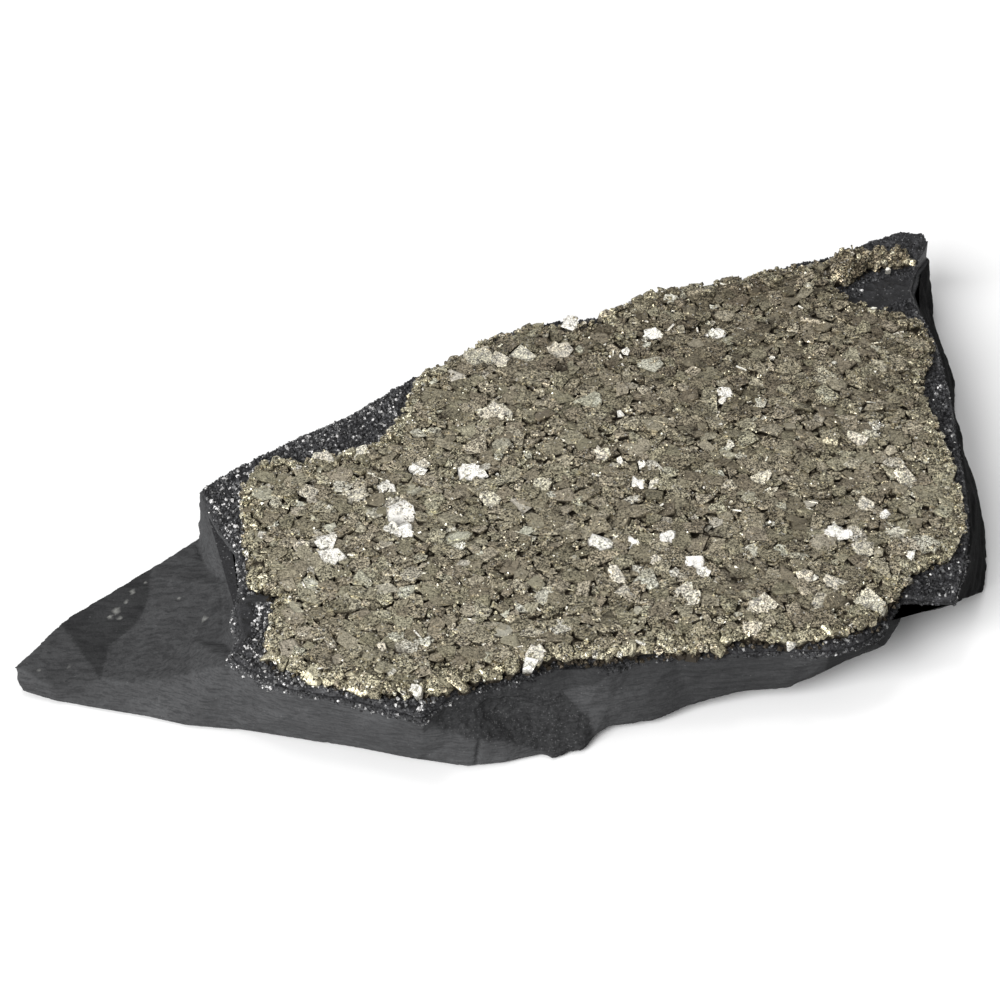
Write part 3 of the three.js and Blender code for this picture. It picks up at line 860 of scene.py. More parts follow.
def druseSpots(rng, tree):
    # Places for grains on the bed and on the slab's upper edge, and how far each is from that edge.
    spots = rng.uniform(*boxOf(slabRim), (druse["grains"] * 9, 2))
    outside = edgeDistance(spots, crustRim)
    fromRim = edgeDistance(spots, slabRim)
    patchy = softNoise(flatOf(spots), 5, 77)
    wanted = (outside < 1.5) & (fromRim > rng.uniform(-0.1, 1.3, len(spots)))
    wanted &= bareness(spots) < rng.uniform(0.1, 0.8, len(spots))
    wanted &= patchy > rng.uniform(-1.3, -0.2, len(spots))
    spots, fromRim = spots[wanted][:druse["grains"]], fromRim[wanted][:druse["grains"]]
    places = np.column_stack([spots, castDown(tree, spots)])
    onTop = places[:, 2] > 26
    return places[onTop], fromRim[onTop]


def brimSpots(rng, basaltMesh):
    # Places for grains that hang over the upper edge of the front.
    points, faces = basaltMesh
    middles = points[faces].mean(axis=1)
    brim = np.flatnonzero((middles[:, 2] > 26.5) & (middles[:, 1] < -60) & (middles[:, 0] > -112)
                          & (edgeDistance(middles, slabRim) < 0.8))
    depth = 30 - middles[brim, 2] + softNoise(middles[brim], 7, 79) * 1.6
    return middles[rng.permutation(brim[depth < rng.uniform(0.3, 2.6, len(brim))])[:druse["rimGrains"]]]


def makeDruse(basaltMesh):
    rng = np.random.default_rng(druse["seed"])
    points, faces = druseBed()
    material = druseMaterial()
    bare = bareness(points)
    cloudy = layeredNoise(flatOf(points), 4, 3, 57)
    tone = (0.22 + 0.25 * softNoise(points, 1.4, 9)) * (1 - bare) + (0.20 + 0.08 * cloudy) * bare
    addPiece("druse_bed", points, faces, material, "dark_druse",
             values={"tone": tone, "grain": druse["speckle"] - 1.2 * bare})

    places, fromRim = druseSpots(rng, treeOf((points, faces), basaltMesh))
    shapes = crystalShapes(rng, 14, [((1, 1, 1), 0.7, 1.15)])
    half = rng.uniform(*druse["grainHalf"], len(places)) * rng.uniform(0.6, 1.0, len(places))
    half *= 0.55 + 0.45 * ramp(fromRim, 0, 4)
    half *= 1 - 0.4 * onHorn(places)
    places[:, 2] += half * 0.3
    brim = brimSpots(rng, basaltMesh)
    places = np.concatenate([places, brim])
    half = np.concatenate([half, rng.uniform(0.25, 0.55, len(brim))])
    count = len(places)
    turns = turnsTo(tilted(rng, count, 60, 180), rng.uniform(0, 6.3, count))
    grains, sides, owner, _ = stamp(shapes, rng.integers(0, len(shapes), count), places, turns,
                                    half[:, None] * rng.uniform(0.8, 1.25, (count, 3)))
    streaks = softNoise(places, (9, 5, 5), 78)
    # Painted light: grains are paler toward the left.
    paintedLightLeft = 0.03 + ramp(-places[:, 0], -20, 110) * druse["paintedLightLeft"]
    tones = np.clip(rng.beta(0.9, 2.0, count) + 0.22 * streaks + paintedLightLeft, 0, 1) * (1 - 0.4 * onHorn(places))
    addPiece("druse_grains", grains, sides, material, "dark_druse",
             values={"tone": tones[owner], "grain": np.full(len(grains), druse["speckle"])})


# Pyrite crust

pyrite = {
    "bedPitch": 0.9,
    "bedFloor": 32.6,
    "foot": 30.5,                 # height that counts as the surface where there is no pyrite
    "bedTop": 34.6,
    "bedLift": 1.2,               # how far the rough bed between the crystals stands above the even surface
    "bedRough": (3.2, 0.42),      # size and height of its lumps
    "roll": (34.0, 0.5),          # size and height of the crust's broad unevenness
    "knobRise": 6.0,
    "knobBox": ((136, 112), (180, 140)),
    "clumps": 15.0,               # size of the patches where only fine crystals grow
    # For each size of crystal: how many places are tried, half its width, how far its top stands above the
    # crust's even surface, its lean in degrees, how close two may be, its thickness beside its width, how far
    # it keeps inside the edge, where it grows among the clumps, the most of them, and its grain.
    "knob": {"darts": 5000, "half": (0.6, 1.7), "rise": (0.3, 1.5), "lean": 34, "gap": 0.6,
             "flatness": 1.0, "margin": 0.5, "clump": 9, "keep": 700, "grain": (1.1, 1.6)},
    "large": {"darts": 12000, "half": (2.6, 5.6), "rise": (2.6, 3.5), "lean": 7, "gap": 0.63,
              "flatness": 0.4, "margin": 0.8, "clump": 0.8, "keep": 1100, "grain": (0.3, 0.95)},
    "medium": {"darts": 26000, "half": (1.3, 2.8), "rise": (2.2, 3.2), "lean": 10, "gap": 0.62,
               "flatness": 0.65, "margin": 0.5, "clump": 1.2, "keep": 2100, "grain": (0.4, 1.1)},
    "small": {"darts": 50000, "half": (0.65, 1.3), "rise": (1.5, 2.6), "lean": 20, "gap": 0.64,
              "flatness": 1.0, "margin": 0.3, "clump": 9, "keep": 4200, "grain": (0.9, 1.7)},
    "edge": {"half": (1.8, 5.0), "rise": (0.9, 2.9), "lean": 12, "flatness": 0.7, "grain": (0.5, 1.3)},
    "terraces": 2,                # most thin plates that lie on a large crystal's face
    "slivers": 220,               # bright narrow edges of crystals that stand on end, with a painted highlight
    "grains": 9500,
    "grainHalf": (0.2, 0.45),
    "brightest": 0.72,            # the most tone of a crystal that leans outwards
    "heap": {"rise": (2.2, 2.8), "lean": 10, "flatness": 0.8, "grain": (0.5, 1.1)},
    "wall": {"rise": (0.3, 1.5), "lean": 30, "flatness": 1.0, "grain": (0.8, 1.3)},
    "wallCrystals": 420,
    "skirtGrains": 800,           # grains heaped against the crust's edge
    "spread": 1.8,                # how far round a place its surroundings reach, for the painted shade in the crevices
    "depth": 1.5,                 # how far under its surroundings a place is painted black, as shade
    "paintedWallShade": 0.55,              # painted shade: how much paler an upper face is than the walls below it
    "tones": [(0.0, (0.150, 0.125, 0.088)), (0.4, (0.328, 0.291, 0.218)), (0.7, (0.465, 0.422, 0.330)),
              (1.0, (0.74, 0.71, 0.625))],
    "olive": (0.95, 0.985, 0.90),
    "mauve": (1.01, 0.985, 0.965),
    "grainAndGlintCool": (0.95, 0.96, 0.97),
    "stain": (0.24, 0.205, 0.155),
    "pit": (0.05, 0.04, 0.028),
    "paintedGlint": (0.88, 0.87, 0.83),
    "shine": (0.87, 0.85, 0.80),
    "paintedCreviceShade": (0.045, 0.036, 0.025),
    "scales": {"grain": 1500.0, "patch": 30.0, "paintedGlint": 1150.0, "pit": 1100.0, "broken": 170.0},
    "bump": (0.0003, 0.6),
    "roughness": 0.43,
    "metallic": 0.75,
    # Painted light: how much paler the crust is at the left, and how much darker at the right and at the
    # back, as the light falls from the front left. Also how much darker it is on the knob.
    "shifts": {"left": 0.07, "right": 0.08, "back": 0.17, "knob": 0.2},
    "seed": 81,
}
# Crystals of the knob and ridge at the back right, which stand above the rest: place and size.
knobCrystals = [(147, 129, 15), (154, 131, 13), (162, 133, 11), (170, 132.5, 10), (145, 122, 12)]
# Crystals that stand up along the back edge: place, half width, and how far they rise.
backHeaps = [(40, 91, 3.4, 0.6), (43.5, 93.5, 2.6, 1.2), (62, 100, 3.2, 0.4), (66, 102.5, 2.8, 1.0),
             (70.5, 100, 3.8, 0.9), (79, 106, 3.6, 1.6), (83.5, 106.5, 3.4, 1.8), (91, 110, 2.4, 0.8),
             (96, 109, 4.0, 1.7), (101, 111, 3.6, 1.6), (108, 114.5, 2.4, 0.9), (113.5, 116.5, 3.8, 1.4),
             (121, 119, 3.0, 0.6)]
# Crystals whose faces catch the light together: place, width, and how bright they are from 0 to 1, which sets
# both their facing and a painted highlight on them. Those below 0 face away from it.
flashes = [
    (-47, -48, 13, 1), (-45, -56, 9, 1), (-50, -54, 7, 1), (-76, -63, 9, 1), (-74, -72, 9, 0.9),
    (-21, -19, 11, 1), (-16, -21, 7, 1), (-40, -18, 9, 1), (-39, -13, 6, 0.6), (-53, -28, 8, 0.8),
    (-80, -11, 8, 0.7), (-65, -6, 7, 0.6), (31, -61, 9, 1), (34, -65, 7, 1), (45, -63, 6, 1), (60, -60, 8, 1),
    (70, -75, 8, 1), (73, -80, 6, 1), (48, -26, 8, 1), (55, -26, 5, 0.7), (51, -14, 4, 0.9), (34, -7, 8, 0.5),
    (42, -11, 3, 1), (22, 82, 9, 0.9), (59, 75, 8, 0.9), (86, 75, 7, 1), (47, 63, 5, 0.9), (109, 58, 3, 1),
    (88, 33, 7, 1), (86, 29, 4, 1), (84, 11, 4, 0.8), (88, -1, 6, 0.7), (43, 20, 4, 0.8), (127, -57, 9, 1),
    (130, -59, 6, 1), (147, -45, 5, 1), (155, -70, 4, 1), (116, -84, 3, 1), (4, -133, 6, 1),
    (7, -127, 7, 0.7),
    (-38, -147, 5, 0.9), (-17, 57, 11, 0.45), (-7, 56, 8, 0.5), (3, 60, 9, 0.55), (18, 63, 12, 0.55),
    (-10, 20, 12, 0.5), (39, -84, 7, 0.6), (41, -92, 6, 0.5), (65, -92, 8, 0.6), (67, -96, 6, 0.7),
    (93, -101, 9, 0.5), (90, -113, 7, 0.35), (104, -122, 4, 0.8), (11, -90, 5, 0.5), (156, 94, 2.4, 1),
    (165, 123, 2.5, 1), (137, -67, 9, 0.5), (135, -98, 8, 0.5), (139, -101, 6, 0.5), (139, -39, 8, 0.6),
    (141, 3, 9, 0.5), (146, 6, 7, 0.5), (163, 57, 12, -0.4), (172, 68, 9, -0.3), (122, -87, 9, 0.5),
    (118, -100, 9, 0.45), (112, -83, 8, 0.3), (-66, -34, 9, 0.5), (-85, -32, 8, 0.45), (-86, -65, 7, 0.4),
    (-52, -123, 6, 0.5), (-11, -36, 9, 0.35), (11, -28, 9, 0.4), (99, -23, 8, 0.4), (158, -23, 10, 0.35),
    (54, -73, 6, 0.5),
]
flashFacing = (-0.10, -0.36, 0.927)
# Nearly black places in the crust: place and width.
darkSpots = [(83, -83, 8), (79, -57, 7), (40, 20, 6), (72, 9, 7), (-102, -72, 5), (-49, -123, 5),
             (-69, -131, 5),
             (139, 112, 8), (134, 108, 7), (130.5, 90, 8), (133, 86, 7), (152.4, 128.3, 4), (152.7, 125, 4),
             (170, 91, 6), (-58, -40, 3), (96, 60, 6), (20, 52, 5), (60, 40, 5), (110, 84, 7),
             (-30, 20, 5), (118, 20, 5), (150, -88, 5), (-5, -75, 4), (-70, -100, 4), (30, -105, 5)]


def knobShare(spots):
    # 1 on the knob and ridge, 0 off them.
    return nearSpots(spots, knobCrystals, 0, 0.124, 0.713)


def crustRise(spots):
    # Height of the crust's even surface, with its broad unevenness and its knob.
    size, height = pyrite["roll"]
    level = pyrite["bedTop"] + layeredNoise(flatOf(spots), size, 2, 5) * height
    knob = knobShare(spots)
    lumps = softNoise(flatOf(spots), 4.5, 6) * 0.9
    return level + knob * (pyrite["knobRise"] + lumps)


def crustFacing(spots):
    # The direction in which the crust's even surface faces.
    step = 0.8
    middle = crustRise(spots)
    alongX = (crustRise(spots + (step, 0)) - middle) / step
    alongY = (crustRise(spots + (0, step)) - middle) / step
    facing = np.stack([-alongX, -alongY, np.ones(len(spots))], axis=1)
    return facing / np.linalg.norm(facing, axis=1, keepdims=True)


def placeTone(spots):
    # Painted light: the crust is paler at the left and darker and browner at the right and at the back, as
    # the light falls from the front left. It is also darker on the knob.
    shifts = pyrite["shifts"]
    return (shifts["left"] * ramp(-spots[:, 0], -60, 90) - shifts["right"] * ramp(spots[:, 0], -20, 80)
            - shifts["back"] * ramp(spots[:, 1], -10, 90) - shifts["knob"] * knobShare(spots))


def darkness(spots):
    # 1 in the crust's few nearly black places.
    return nearSpots(spots, darkSpots, layeredNoise(flatOf(spots), 2.6, 3, 66) * 0.45, 0.25, 0.75)


def pyriteMaterial():
    material, tree, surface, place = newMaterial("pyriteCrystal")
    tone = attribute(tree, "tone")
    tint = attribute(tree, "tint")
    rise = attribute(tree, "rise")
    shine = attribute(tree, "shine")
    fine = attribute(tree, "grain")
    strength = maths(tree, "MULTIPLY_ADD", tone, -3.0, 6.6)
    scales = pyrite["scales"]
    grain = useGroup(tree, speckleGroup, Vector=place, Scale=scales["grain"],
                     Contrast=maths(tree, "MULTIPLY", fine, strength))
    patch = useGroup(tree, mottleGroup, Vector=place, Scale=scales["patch"], Sharpness=2.0)
    # Painted glints: small bright spots, more where the grain is stronger.
    paintedGlint = useGroup(tree, fleckGroup, Vector=place, Scale=scales["paintedGlint"],
                     Share=maths(tree, "MULTIPLY", fine, 0.06))
    pit = useGroup(tree, fleckGroup, Vector=place, Scale=scales["pit"],
                   Share=maths(tree, "MULTIPLY_ADD", tone, -0.10, 0.12))
    colour = colourRamp(tree, tone, pyrite["tones"])
    olive = multiplied(tree, colour, pyrite["olive"])
    mauve = multiplied(tree, colour, pyrite["mauve"])
    colour = blendColours(tree, tint, olive, mauve)
    colour = laidOver(tree, colour, patch["Mask"], 0.2, pyrite["stain"])
    # The speckle's bright cells, partly grain and partly painted glints, are a little cooler than the
    # crystal.
    grainAndGlintCool = multiplied(tree, grain["Tone"], pyrite["grainAndGlintCool"])
    over = maths(tree, "SUBTRACT", grain["Tone"], 1.0, clamp=True)
    colour = multiplied(tree, colour, blendColours(tree, over, grain["Tone"], grainAndGlintCool))
    colour = laidOver(tree, colour, pit["Mask"], 0.9, pyrite["pit"])
    colour = laidOver(tree, colour, paintedGlint["Mask"], 0.72, pyrite["paintedGlint"])
    # Painted highlight: a shining face is painted pale, and broken up by duller spots.
    broken = useGroup(tree, mottleGroup, Vector=place, Scale=scales["broken"], Sharpness=5.0)
    kept = maths(tree, "MULTIPLY_ADD", broken["Mask"], 0.7, maths(tree, "MULTIPLY", grain["Cell"], 0.9))
    kept = maths(tree, "ADD", kept, 0.03, clamp=True)
    colour = laidOver(tree, colour, shine, kept, pyrite["shine"])
    # Painted shade: crevices, places below their surroundings and the walls under an upper face are darkened
    # towards black, and so are the nearly black places.
    depth = put(tree, "ShaderNodeMapRange", {"Value": rise, "From Min": -0.12, "From Max": 1.0}).outputs[0]
    colour = blendColours(tree, depth, pyrite["paintedCreviceShade"], colour)
    roughness = maths(tree, "MULTIPLY_ADD", fine, 0.05, pyrite["roughness"])
    roughness = maths(tree, "MULTIPLY_ADD", shine, -0.06, roughness)
    feed(tree, surface, colour, roughness, grain["Height"], *pyrite["bump"])
    surface.inputs["Metallic"].default_value = pyrite["metallic"]
    return material


def clumpiness(spots):
    # Above 0 where the crust is a mass of fine crystals.
    return layeredNoise(flatOf(spots), pyrite["clumps"], 2, 33)


def spreadCrystals(rng, kind, taken):
    # Throws places at the crust, and keeps those that aren't too close to a crystal already there.
    setting = pyrite[kind]
    box = pyrite["knobBox"] if kind == "knob" else boxOf(crustRim)
    spots = rng.uniform(*box, (setting["darts"], 2))
    halves = rng.uniform(*setting["half"], setting["darts"])
    fits = edgeDistance(spots, crustRim) > halves * setting["margin"]
    fits &= clumpiness(spots) < setting["clump"]
    onKnob = knobShare(spots) > 0.05
    if kind == "knob":
        fits &= onKnob
    elif kind == "large":
        fits &= ~onKnob
    kept = np.zeros((len(taken) + fits.sum(), 3))
    kept[:len(taken)] = taken
    count = len(taken)
    for spot, half in zip(spots[fits], halves[fits]):
        near = kept[:count]
        apart = (near[:, 0] - spot[0]) ** 2 + (near[:, 1] - spot[1]) ** 2
        if (apart > ((near[:, 2] + half) * setting["gap"]) ** 2).all():
            kept[count] = (*spot, half)
            count += 1
            if count - len(taken) >= setting["keep"]:
                break
    return kept[len(taken):count]


def edgeCrystals(rng):
    # Crystals along the crust's edge, of very different sizes, so that it is ragged: place and half width,
    # and the direction that lies outwards.
    spots, outward = [], []
    for start, side in zip(*sidesOf(crustRim)):
        length = np.linalg.norm(side)
        inward = np.array([-side[1], side[0]]) / length
        along = rng.uniform(0, 2)
        while along < length:
            half = rng.uniform(*pyrite["edge"]["half"]) * rng.choice([0.45, 0.8, 1.1], p=[0.15, 0.3, 0.55])
            spot = start + side * along / length + inward * half * rng.uniform(0.5, 1.4)
            spots.append((*spot, half))
            outward.append(-inward)
            along += half * rng.uniform(0.55, 1.15)
    return np.array(spots), np.array(outward)


def wallCrystals(rng):
    # Small crystals on the steep sides of the knob and the ridge: place and half width, the direction that
    # lies outwards, and how far each is below the top.
    rim, side = sidesOf(crustRim)
    chosen = rng.integers(0, len(rim), 40 * pyrite["wallCrystals"])
    spots = rim[chosen] + side[chosen] * rng.random((len(chosen), 1))
    raised = knobShare(spots) > 0.15
    spots = spots[raised][:pyrite["wallCrystals"]]
    side = side[chosen[raised][:len(spots)]]
    outward = np.stack([side[:, 1], -side[:, 0]], axis=1) / np.linalg.norm(side, axis=1, keepdims=True)
    drop = rng.uniform(0, 1, len(spots))
    spots = spots - outward * (1.9 - 1.7 * drop + rng.uniform(-0.3, 0.3, len(spots)))[:, None]
    return np.column_stack([spots, rng.uniform(0.5, 1.5, len(spots))]), outward, drop * 7.0 * knobShare(spots)


def levelAround(parts):
    # A function that gives the average height of the surface round each place.
    pitch = 0.8
    beside = 9                    # how far the grid of heights reaches past the slab
    low, high = boxOf(slabRim)
    low = low - beside
    axes = [np.arange(first, last, pitch) for first, last in zip(low, high + beside)]
    spots = np.stack(np.meshgrid(*axes, indexing="ij"), axis=-1)
    heights = castDown(treeOf(*parts), spots.reshape(-1, 2))
    heights = np.where(np.isnan(heights), pyrite["foot"], heights).reshape(spots.shape[:2])
    weights = np.exp(-0.5 * (np.arange(-8, 9) * pitch / pyrite["spread"]) ** 2)
    for axis in (0, 1):
        heights = np.apply_along_axis(np.convolve, axis, heights, weights / weights.sum(), "same")

    def level(points):
        place = (points[:, :2] - low) / pitch
        cell = np.clip(np.floor(place).astype(int), 0, np.array(heights.shape) - 2)
        part = place - cell
        (i, j), (u, v) = cell.T, part.T
        return ((heights[i, j] * (1 - v) + heights[i, j + 1] * v) * (1 - u)
                + (heights[i + 1, j] * (1 - v) + heights[i + 1, j + 1] * v) * u)

    return level


def makeCrystals(rng, kind, spots, shapes, outward=None, drop=0.0):
    # One joined piece of all the crystals of a size.
    setting = pyrite[kind]
    count = len(spots)
    facing = tilted(rng, count, setting["lean"], 60)
    toFlash = facing @ np.array(flashFacing) > math.cos(math.radians(8))
    if kind not in ("small", "edge", "wall", "heap"):
        facing[toFlash] *= (-1, -1, 1)
    facing = facing + crustFacing(spots[:, :2]) * (1.2, 1.2, 0)
    tones = 0.23 + rng.gamma(1.8, 0.15, count) + placeTone(spots) - 0.1 * (kind == "wall")
    if outward is not None:
        facing[:, :2] += outward * rng.uniform(0.05, 1.1 if kind == "wall" else 0.6, (count, 1))
        # Painted light: crystals at the front edge, which lean toward the light, are mostly paler.
        tones += 0.06 * ramp(-outward[:, 1], -0.2, 0.6) * rng.uniform(-1, 1.6, count)
        tones = np.minimum(tones, pyrite["brightest"])
    facing /= np.linalg.norm(facing, axis=1, keepdims=True)
    half = spots[:, 2]
    height = crustRise(spots[:, :2]) + rng.uniform(*setting["rise"], count) - drop
    top = np.column_stack([spots[:, :2], height])
    if outward is not None:
        heaped = softNoise(flatOf(spots), 9, 34) * 1.7
        top[:, 2] += ramp(outward[:, 1], 0.3, 0.8) * (rng.uniform(-0.3, 1.0, count) + heaped) * (
            (kind == "edge") & (knobShare(spots) < 0.02))
    sizes = half[:, None] * rng.uniform(0.75, 1.28, (count, 3)) * (1, 1, setting["flatness"])
    spins = rng.uniform(0, 6.3, count)
    tones = np.clip(tones, 0, 1)
    tints = rng.random(count) * (0.3 if kind == "edge" else 1)
    grains = rng.uniform(*setting["grain"], count) * rng.choice([0.45, 1.0], count, p=[0.1, 0.9])
    for _ in range(pyrite["terraces"] if kind == "large" else 0):
        chosen = np.flatnonzero(rng.random(count) < 0.5)
        turns = turnsTo(facing[chosen], spins[chosen])
        aside = rng.uniform(-0.45, 0.45, (len(chosen), 3)) * sizes[chosen] * (1, 1, 0)
        lifted = top[chosen] + np.einsum("nij,nj->ni", turns, aside)
        added = (lifted + facing[chosen] * rng.uniform(0.1, 0.35, (len(chosen), 1)),
                 sizes[chosen] * rng.uniform(0.4, 0.75, (len(chosen), 3)), facing[chosen],
                 spins[chosen] + rng.choice([0, 0, 0.8], len(chosen)),
                 np.clip(tones[chosen] + rng.normal(0, 0.08, len(chosen)), 0, 1),
                 tints[chosen], grains[chosen])
        top, sizes, facing, spins, tones, tints, grains = (
            np.concatenate(pair) for pair in zip((top, sizes, facing, spins, tones, tints, grains), added))
    picks = rng.integers(0, len(shapes), len(top))
    places = top - facing * sizes[:, [2]]
    points, faces, owner, crowns = stamp(shapes, picks, places, turnsTo(facing, spins), sizes)
    values = perPoint(owner, tone=tones, tint=tints, grain=grains, shine=np.zeros(len(top)))
    return "pyrite_" + kind, points, faces, {**values, "rise": crowns * pyrite["paintedWallShade"]}


def makeFlashes(rng, plates, steps):
    # Crystals that share one facing. The brightest are a plate with smaller ones at its edge in the same
    # turn, which leave a ragged outline, and the others are one or two pale plates. Bright narrow edges of
    # crystals that stand on end lie between them.
    rows = []                     # place, half width, thickness, painted shine, facing, spin, tone, grain and shape
    # Painted highlight: the more a crystal catches the light, the paler its tone and the more painted shine
    # it gets.
    for x, y, width, bright in flashes:
        ragged = bright > 0.75 and width > 3
        lean = np.array(flashFacing) + rng.normal(0, 0.012, 3) + (1 - bright) * rng.normal(0, 0.14, 3)
        if bright < 0:
            lean = np.array([0.16, 0.1, 1])
        spin = rng.uniform(0, 6.3)
        stretch = rng.uniform(0.6, 0.95)
        for step in range(2 + int(width * 0.16) if ragged else 1 + int(width > 6)):
            beside = ragged and step > 0
            angle = rng.uniform(0, 6.3)
            reach = width * (0.36 if ragged else 0.16) * math.sqrt(rng.uniform(0.3, 1)) * (step > 0)
            rows.append((x + reach * math.cos(angle), y + stretch * reach * math.sin(angle),
                         width * (rng.uniform(0.16, 0.3) if beside else rng.uniform(0.4, 0.5)),
                         rng.uniform(0.25, 0.5) if beside else rng.uniform(1.2, 2.0),
                         bright if ragged else max(0.0, 0.5 * bright), *(lean + rng.normal(0, 0.004, 3)),
                         spin + rng.normal(0, 0.08), 0.56 + 0.32 * bright, 0.9,
                         rng.integers(len(plates) + len(steps) * (step > 0))))
    for _ in range(pyrite["slivers"]):
        spot = rng.uniform(*boxOf(crustRim))
        half = rng.uniform(0.7, 2.6)
        bright = rng.beta(1.3, 1.6)
        rows.append((*spot, half, 1.3, 0.75 * bright, rng.normal(-0.12, 0.06), rng.normal(-0.5, 0.08), 0.85,
                     rng.normal(0, 0.55), 0.62 + 0.3 * bright, 1.0, -1 - rng.integers(len(steps))))
    rows = np.array(rows)
    spots, facing, picks = rows[:, :2], rows[:, 5:8], rows[:, 11].astype(int)
    halves, thick, shines, spins, tones, grains = rows[:, [2, 3, 4, 8, 9, 10]].T
    sliver = picks < 0
    picks = np.where(sliver, len(plates) - 1 - picks, picks)
    held = ~sliver | (edgeDistance(spots, crustRim) > 2)
    facing = facing / np.linalg.norm(facing, axis=1, keepdims=True)
    count = len(spots)
    sizes = halves[:, None] * rng.uniform(0.8, 1.25, (count, 3))
    sizes[:, 1] = np.where(sliver, rng.uniform(0.22, 0.5, count), sizes[:, 1])
    sizes[:, 2] = thick
    lift = np.where(sliver, rng.uniform(2.7, 3.3, count), rng.uniform(3.2, 3.5, count))
    level = crustRise(spots) + lift
    places = np.column_stack([spots, level]) - facing * sizes[:, [2]]
    small = thick < 0.6
    places[small] += facing[small] * 0.3
    turns = turnsTo(facing, spins)
    points, faces, owner, crowns = stamp(plates + steps, picks[held], places[held], turns[held], sizes[held])
    values = perPoint(owner, tone=tones[held], tint=rng.random(held.sum()), grain=grains[held],
                      shine=shines[held])
    return "pyrite_bright", points, faces, {**values, "rise": crowns * pyrite["paintedWallShade"]}


def skirtPlaces(rng):
    # Places heaped against the crust's edge, and how high each lies there from 0 to 1.
    rim, side = sidesOf(crustRim)
    length = np.linalg.norm(side, axis=1)
    chosen = rng.choice(len(rim), pyrite["skirtGrains"], p=length / length.sum())
    inward = np.stack([-side[:, 1], side[:, 0]], axis=1) / length[:, None]
    level = 0.62 * rng.beta(1.0, 1.3, len(chosen))
    spots = rim[chosen] + side[chosen] * rng.random((len(chosen), 1))
    spots += inward[chosen] * (2.2 * level + rng.uniform(-1.0, 0.7, len(chosen)))[:, None]
    return np.column_stack([spots, 31.0 + (crustRise(spots) - 30.0) * level]), level


def crustBed():
    # The rough bed that shows between the crystals.
    def top(spots):
        size, height = pyrite["bedRough"]
        rough = layeredNoise(flatOf(spots), size, 3, 15) * height
        return crustRise(spots) + rough + pyrite["bedLift"] * ramp(edgeDistance(spots, crustRim), 1.5, 4)

    def inside(spots):
        return edgeDistance(spots, crustRim) > 1.7

    points, faces = shell(pyrite["bedPitch"], inside, top, pyrite["bedFloor"], 0.3, 4)
    plain = np.full(len(points), 0.5)
    tones = 0.32 + 0.2 * softNoise(points, 1.5, 16) + placeTone(points)
    return "pyrite_bed", points, faces, {"tone": np.clip(tones, 0, 1), "tint": plain, "grain": plain + 1.1,
                                         "shine": plain * 0, "rise": plain * 0}


def grainSpots(rng, broad):
    # Places for fine grains, in clumps and mostly off the bright faces and the broad crystals.
    spots = rng.uniform(*boxOf(crustRim), (pyrite["grains"] * 3, 2))
    chosen = edgeDistance(spots, crustRim) > -0.3
    chosen &= clumpiness(spots) > rng.uniform(-1.6, 0.9, len(spots))
    for x, y, width, _ in flashes:
        chosen &= np.linalg.norm(spots - (x, y), axis=1) > width * 0.4
    rare = rng.random(len(spots)) < 0.15
    for x, y, half in broad:
        chosen &= rare | (np.linalg.norm(spots - (x, y), axis=1) > half * 0.85)
    return spots[chosen][:pyrite["grains"]]


def looseGrains(rng, tree, broad):
    # Fine grains on the crystals, and larger ones heaped against the crust's edge.
    spots = grainSpots(rng, broad)
    heights = castDown(tree, spots)
    met = ~np.isnan(heights)
    places = np.column_stack([spots[met], heights[met] + rng.uniform(0.02, 0.05, met.sum())])
    skirt, stacked = skirtPlaces(rng)
    places = np.concatenate([places, skirt])
    count = len(places)
    half = rng.uniform(*pyrite["grainHalf"], count)
    half[-len(skirt):] *= 1.7
    turns = turnsTo(tilted(rng, count, 40, 170), rng.uniform(0, 6.3, count))
    shapes = crystalShapes(rng, 14, [((1, 1, 1), 0.7, 1.1)])
    points, faces, owner, _ = stamp(shapes, rng.integers(0, len(shapes), count), places, turns,
                                    half[:, None] * rng.uniform(0.8, 1.4, (count, 3)))
    tones = rng.normal(0.5, 0.32, count) + placeTone(places)
    # Grains heaped against the crust's edge are a little darker, and those lower down are painted darker
    # still as shade, the lowest nearly black.
    tones[-len(skirt):] -= 0.1 + 0.5 * (1 - stacked)
    sunkShade = np.full(count, 0.2)
    sunkShade[-len(skirt):] -= 1.5 * (1 - stacked)
    # Painted glints: a few grains get a painted shine.
    shine = np.where(rng.random(count) < 0.01, 0.6, 0.0)
    return "pyrite_grains", points, faces, perPoint(
        owner, tone=np.clip(tones, 0, 1), tint=rng.random(count), grain=rng.uniform(0.6, 1.3, count),
        shine=shine, rise=sunkShade)


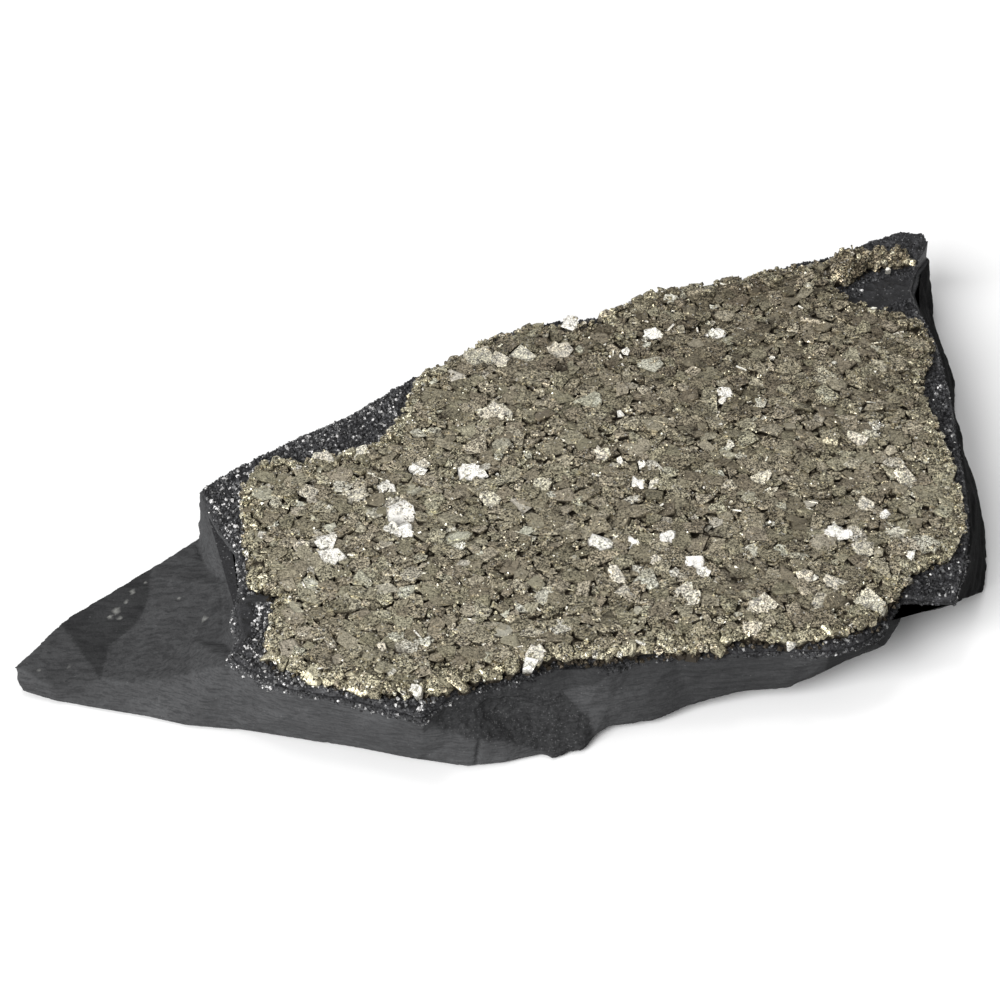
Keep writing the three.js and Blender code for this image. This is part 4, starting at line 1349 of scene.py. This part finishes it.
def makePyrite():
    rng = np.random.default_rng(pyrite["seed"])
    material = pyriteMaterial()
    square = crystalShapes(rng, 10, [((0, 0, 1), 0.9, 1.05), ((0, 1, 1), 1.22, 1.4), ((1, 1, 1), 1.4, 1.75)])
    cubes = crystalShapes(rng, 10, [((0, 0, 1), 0.9, 1.1)])
    blocks = facetBlocks(rng, 36, (3, 4, 4, 4, 5, 5, 6), (0.02, 0.04, 0.06, 0.16))
    lumps = facetBlocks(rng, 16, (5, 6, 7), (0.1, 0.2, 0.34))
    plainShapes = crystalShapes(rng, 16, [((0, 0, 1), 0.8, 1.1), ((1, 1, 1), 1.15, 1.6)])
    built = [crustBed(), makeFlashes(rng, blocks, cubes)]
    edges, outward = edgeCrystals(rng)
    heaps = np.array(backHeaps)
    backward = np.tile((-0.3, 0.95), (len(heaps), 1))
    built.append(makeCrystals(rng, "heap", heaps[:, :3], lumps, backward, -heaps[:, 3]))
    taken = np.array([(x, y, width * 0.4) for x, y, width, _ in flashes])
    taken = np.concatenate([taken, edges * (1, 1, 0.8)])
    edges[:, 2] = np.where(knobShare(edges) > 0.02, np.minimum(edges[:, 2], 1.2), edges[:, 2])
    built.append(makeCrystals(rng, "edge", edges, lumps, outward))
    walls, outward, drop = wallCrystals(rng)
    built.append(makeCrystals(rng, "wall", walls, plainShapes, outward, drop))
    for kind, shapes in (("knob", plainShapes), ("large", blocks), ("medium", square + blocks * 2),
                         ("small", plainShapes)):
        spots = spreadCrystals(rng, kind, taken)
        taken = np.concatenate([taken, spots])
        if kind == "large":
            broad = spots
        built.append(makeCrystals(rng, kind, spots, shapes))

    parts = [(points, faces) for _, points, faces, _ in built]
    level = levelAround(parts)
    built.append(looseGrains(rng, treeOf(*parts), broad))
    for name, points, faces, values in built:
        # Painted shade in the crevices: a place below the average height round it is painted darker, black
        # further down. The knob, and most its walls, get less of it, and the nearly black places are painted
        # black.
        values["rise"] += np.clip(0.5 + (points[:, 2] - level(points)) / pyrite["depth"], -4, 2)
        values["rise"] += (0.5 if name == "pyrite_wall" else 0.1) * knobShare(points) - 0.9 * darkness(points)
        addPiece(name, points, faces, material, "pyrite_crust", values=values)


# Studio

studio = {
    "floor": (0.93, 0.93, 0.93),
    "floorHalf": 12.0,            # half its width, in metres
    "floorRoughness": 0.9,
    "floorSpecular": 0.1,
    "sky": 0.50,
    "lamps": {                    # where each comes from, its strength and its softness in degrees
        "keyLight": ((-0.55, -0.65, 0.55), 3.9, 38),
        "topLight": ((-0.174, 0.138, 0.974), 0.26, 12),
    },
    "aim": (-6, -15.5, 20),       # what the camera looks at, in frame millimetres
    "elevation": 40,
    "distance": 1250,
    "lens": 109.2,
}


def aimAt(thing, place, target):
    thing.location = place
    thing.rotation_euler = (Vector(target) - Vector(place)).to_track_quat("-Z", "Y").to_euler()


def makeStudio():
    mesh = bpy.data.meshes.new("floor")
    half = studio["floorHalf"]
    corners = [(-half, -half, 0), (half, -half, 0), (half, half, 0), (-half, half, 0)]
    mesh.from_pydata(corners, [], [(0, 1, 2, 3)])
    floor = bpy.data.objects.new("floor", mesh)
    scene.collection.objects.link(floor)
    material, tree, surface, place = newMaterial("paleFloor")
    patch = useGroup(tree, mottleGroup, Vector=place, Scale=3.0, Sharpness=0.6)
    shade = tuple(0.985 * value for value in studio["floor"])
    colour = blendColours(tree, patch["Mask"], studio["floor"], shade)
    tree.links.new(colour, surface.inputs["Base Color"])
    surface.inputs["Roughness"].default_value = studio["floorRoughness"]
    surface.inputs["Specular IOR Level"].default_value = studio["floorSpecular"]
    mesh.materials.append(material)

    world = bpy.data.worlds.new("softSky")
    scene.world = world
    world.use_nodes = True
    world.node_tree.nodes["Background"].inputs["Color"].default_value = (1, 1, 1, 1)
    world.node_tree.nodes["Background"].inputs["Strength"].default_value = studio["sky"]

    for name, (toward, strength, softness) in studio["lamps"].items():
        lamp = bpy.data.lights.new(name, "SUN")
        lamp.energy = strength
        lamp.angle = math.radians(softness)
        light = bpy.data.objects.new(name, lamp)
        scene.collection.objects.link(light)
        aimAt(light, toward, (0, 0, 0))

    lens = bpy.data.cameras.new("camera")
    lens.lens = studio["lens"]
    camera = bpy.data.objects.new("camera", lens)
    scene.collection.objects.link(camera)
    lift = math.radians(studio["elevation"])
    target = np.array(studio["aim"]) * mm
    back = np.array([0, -math.cos(lift), math.sin(lift)]) * studio["distance"] * mm
    aimAt(camera, tuple(target + back), tuple(target))
    scene.camera = camera
    scene.view_settings.view_transform = "Standard"
    print("studio ready")


makeStudio()
basaltMesh = makeBasalt()
makeDruse(basaltMesh)
makePyrite()
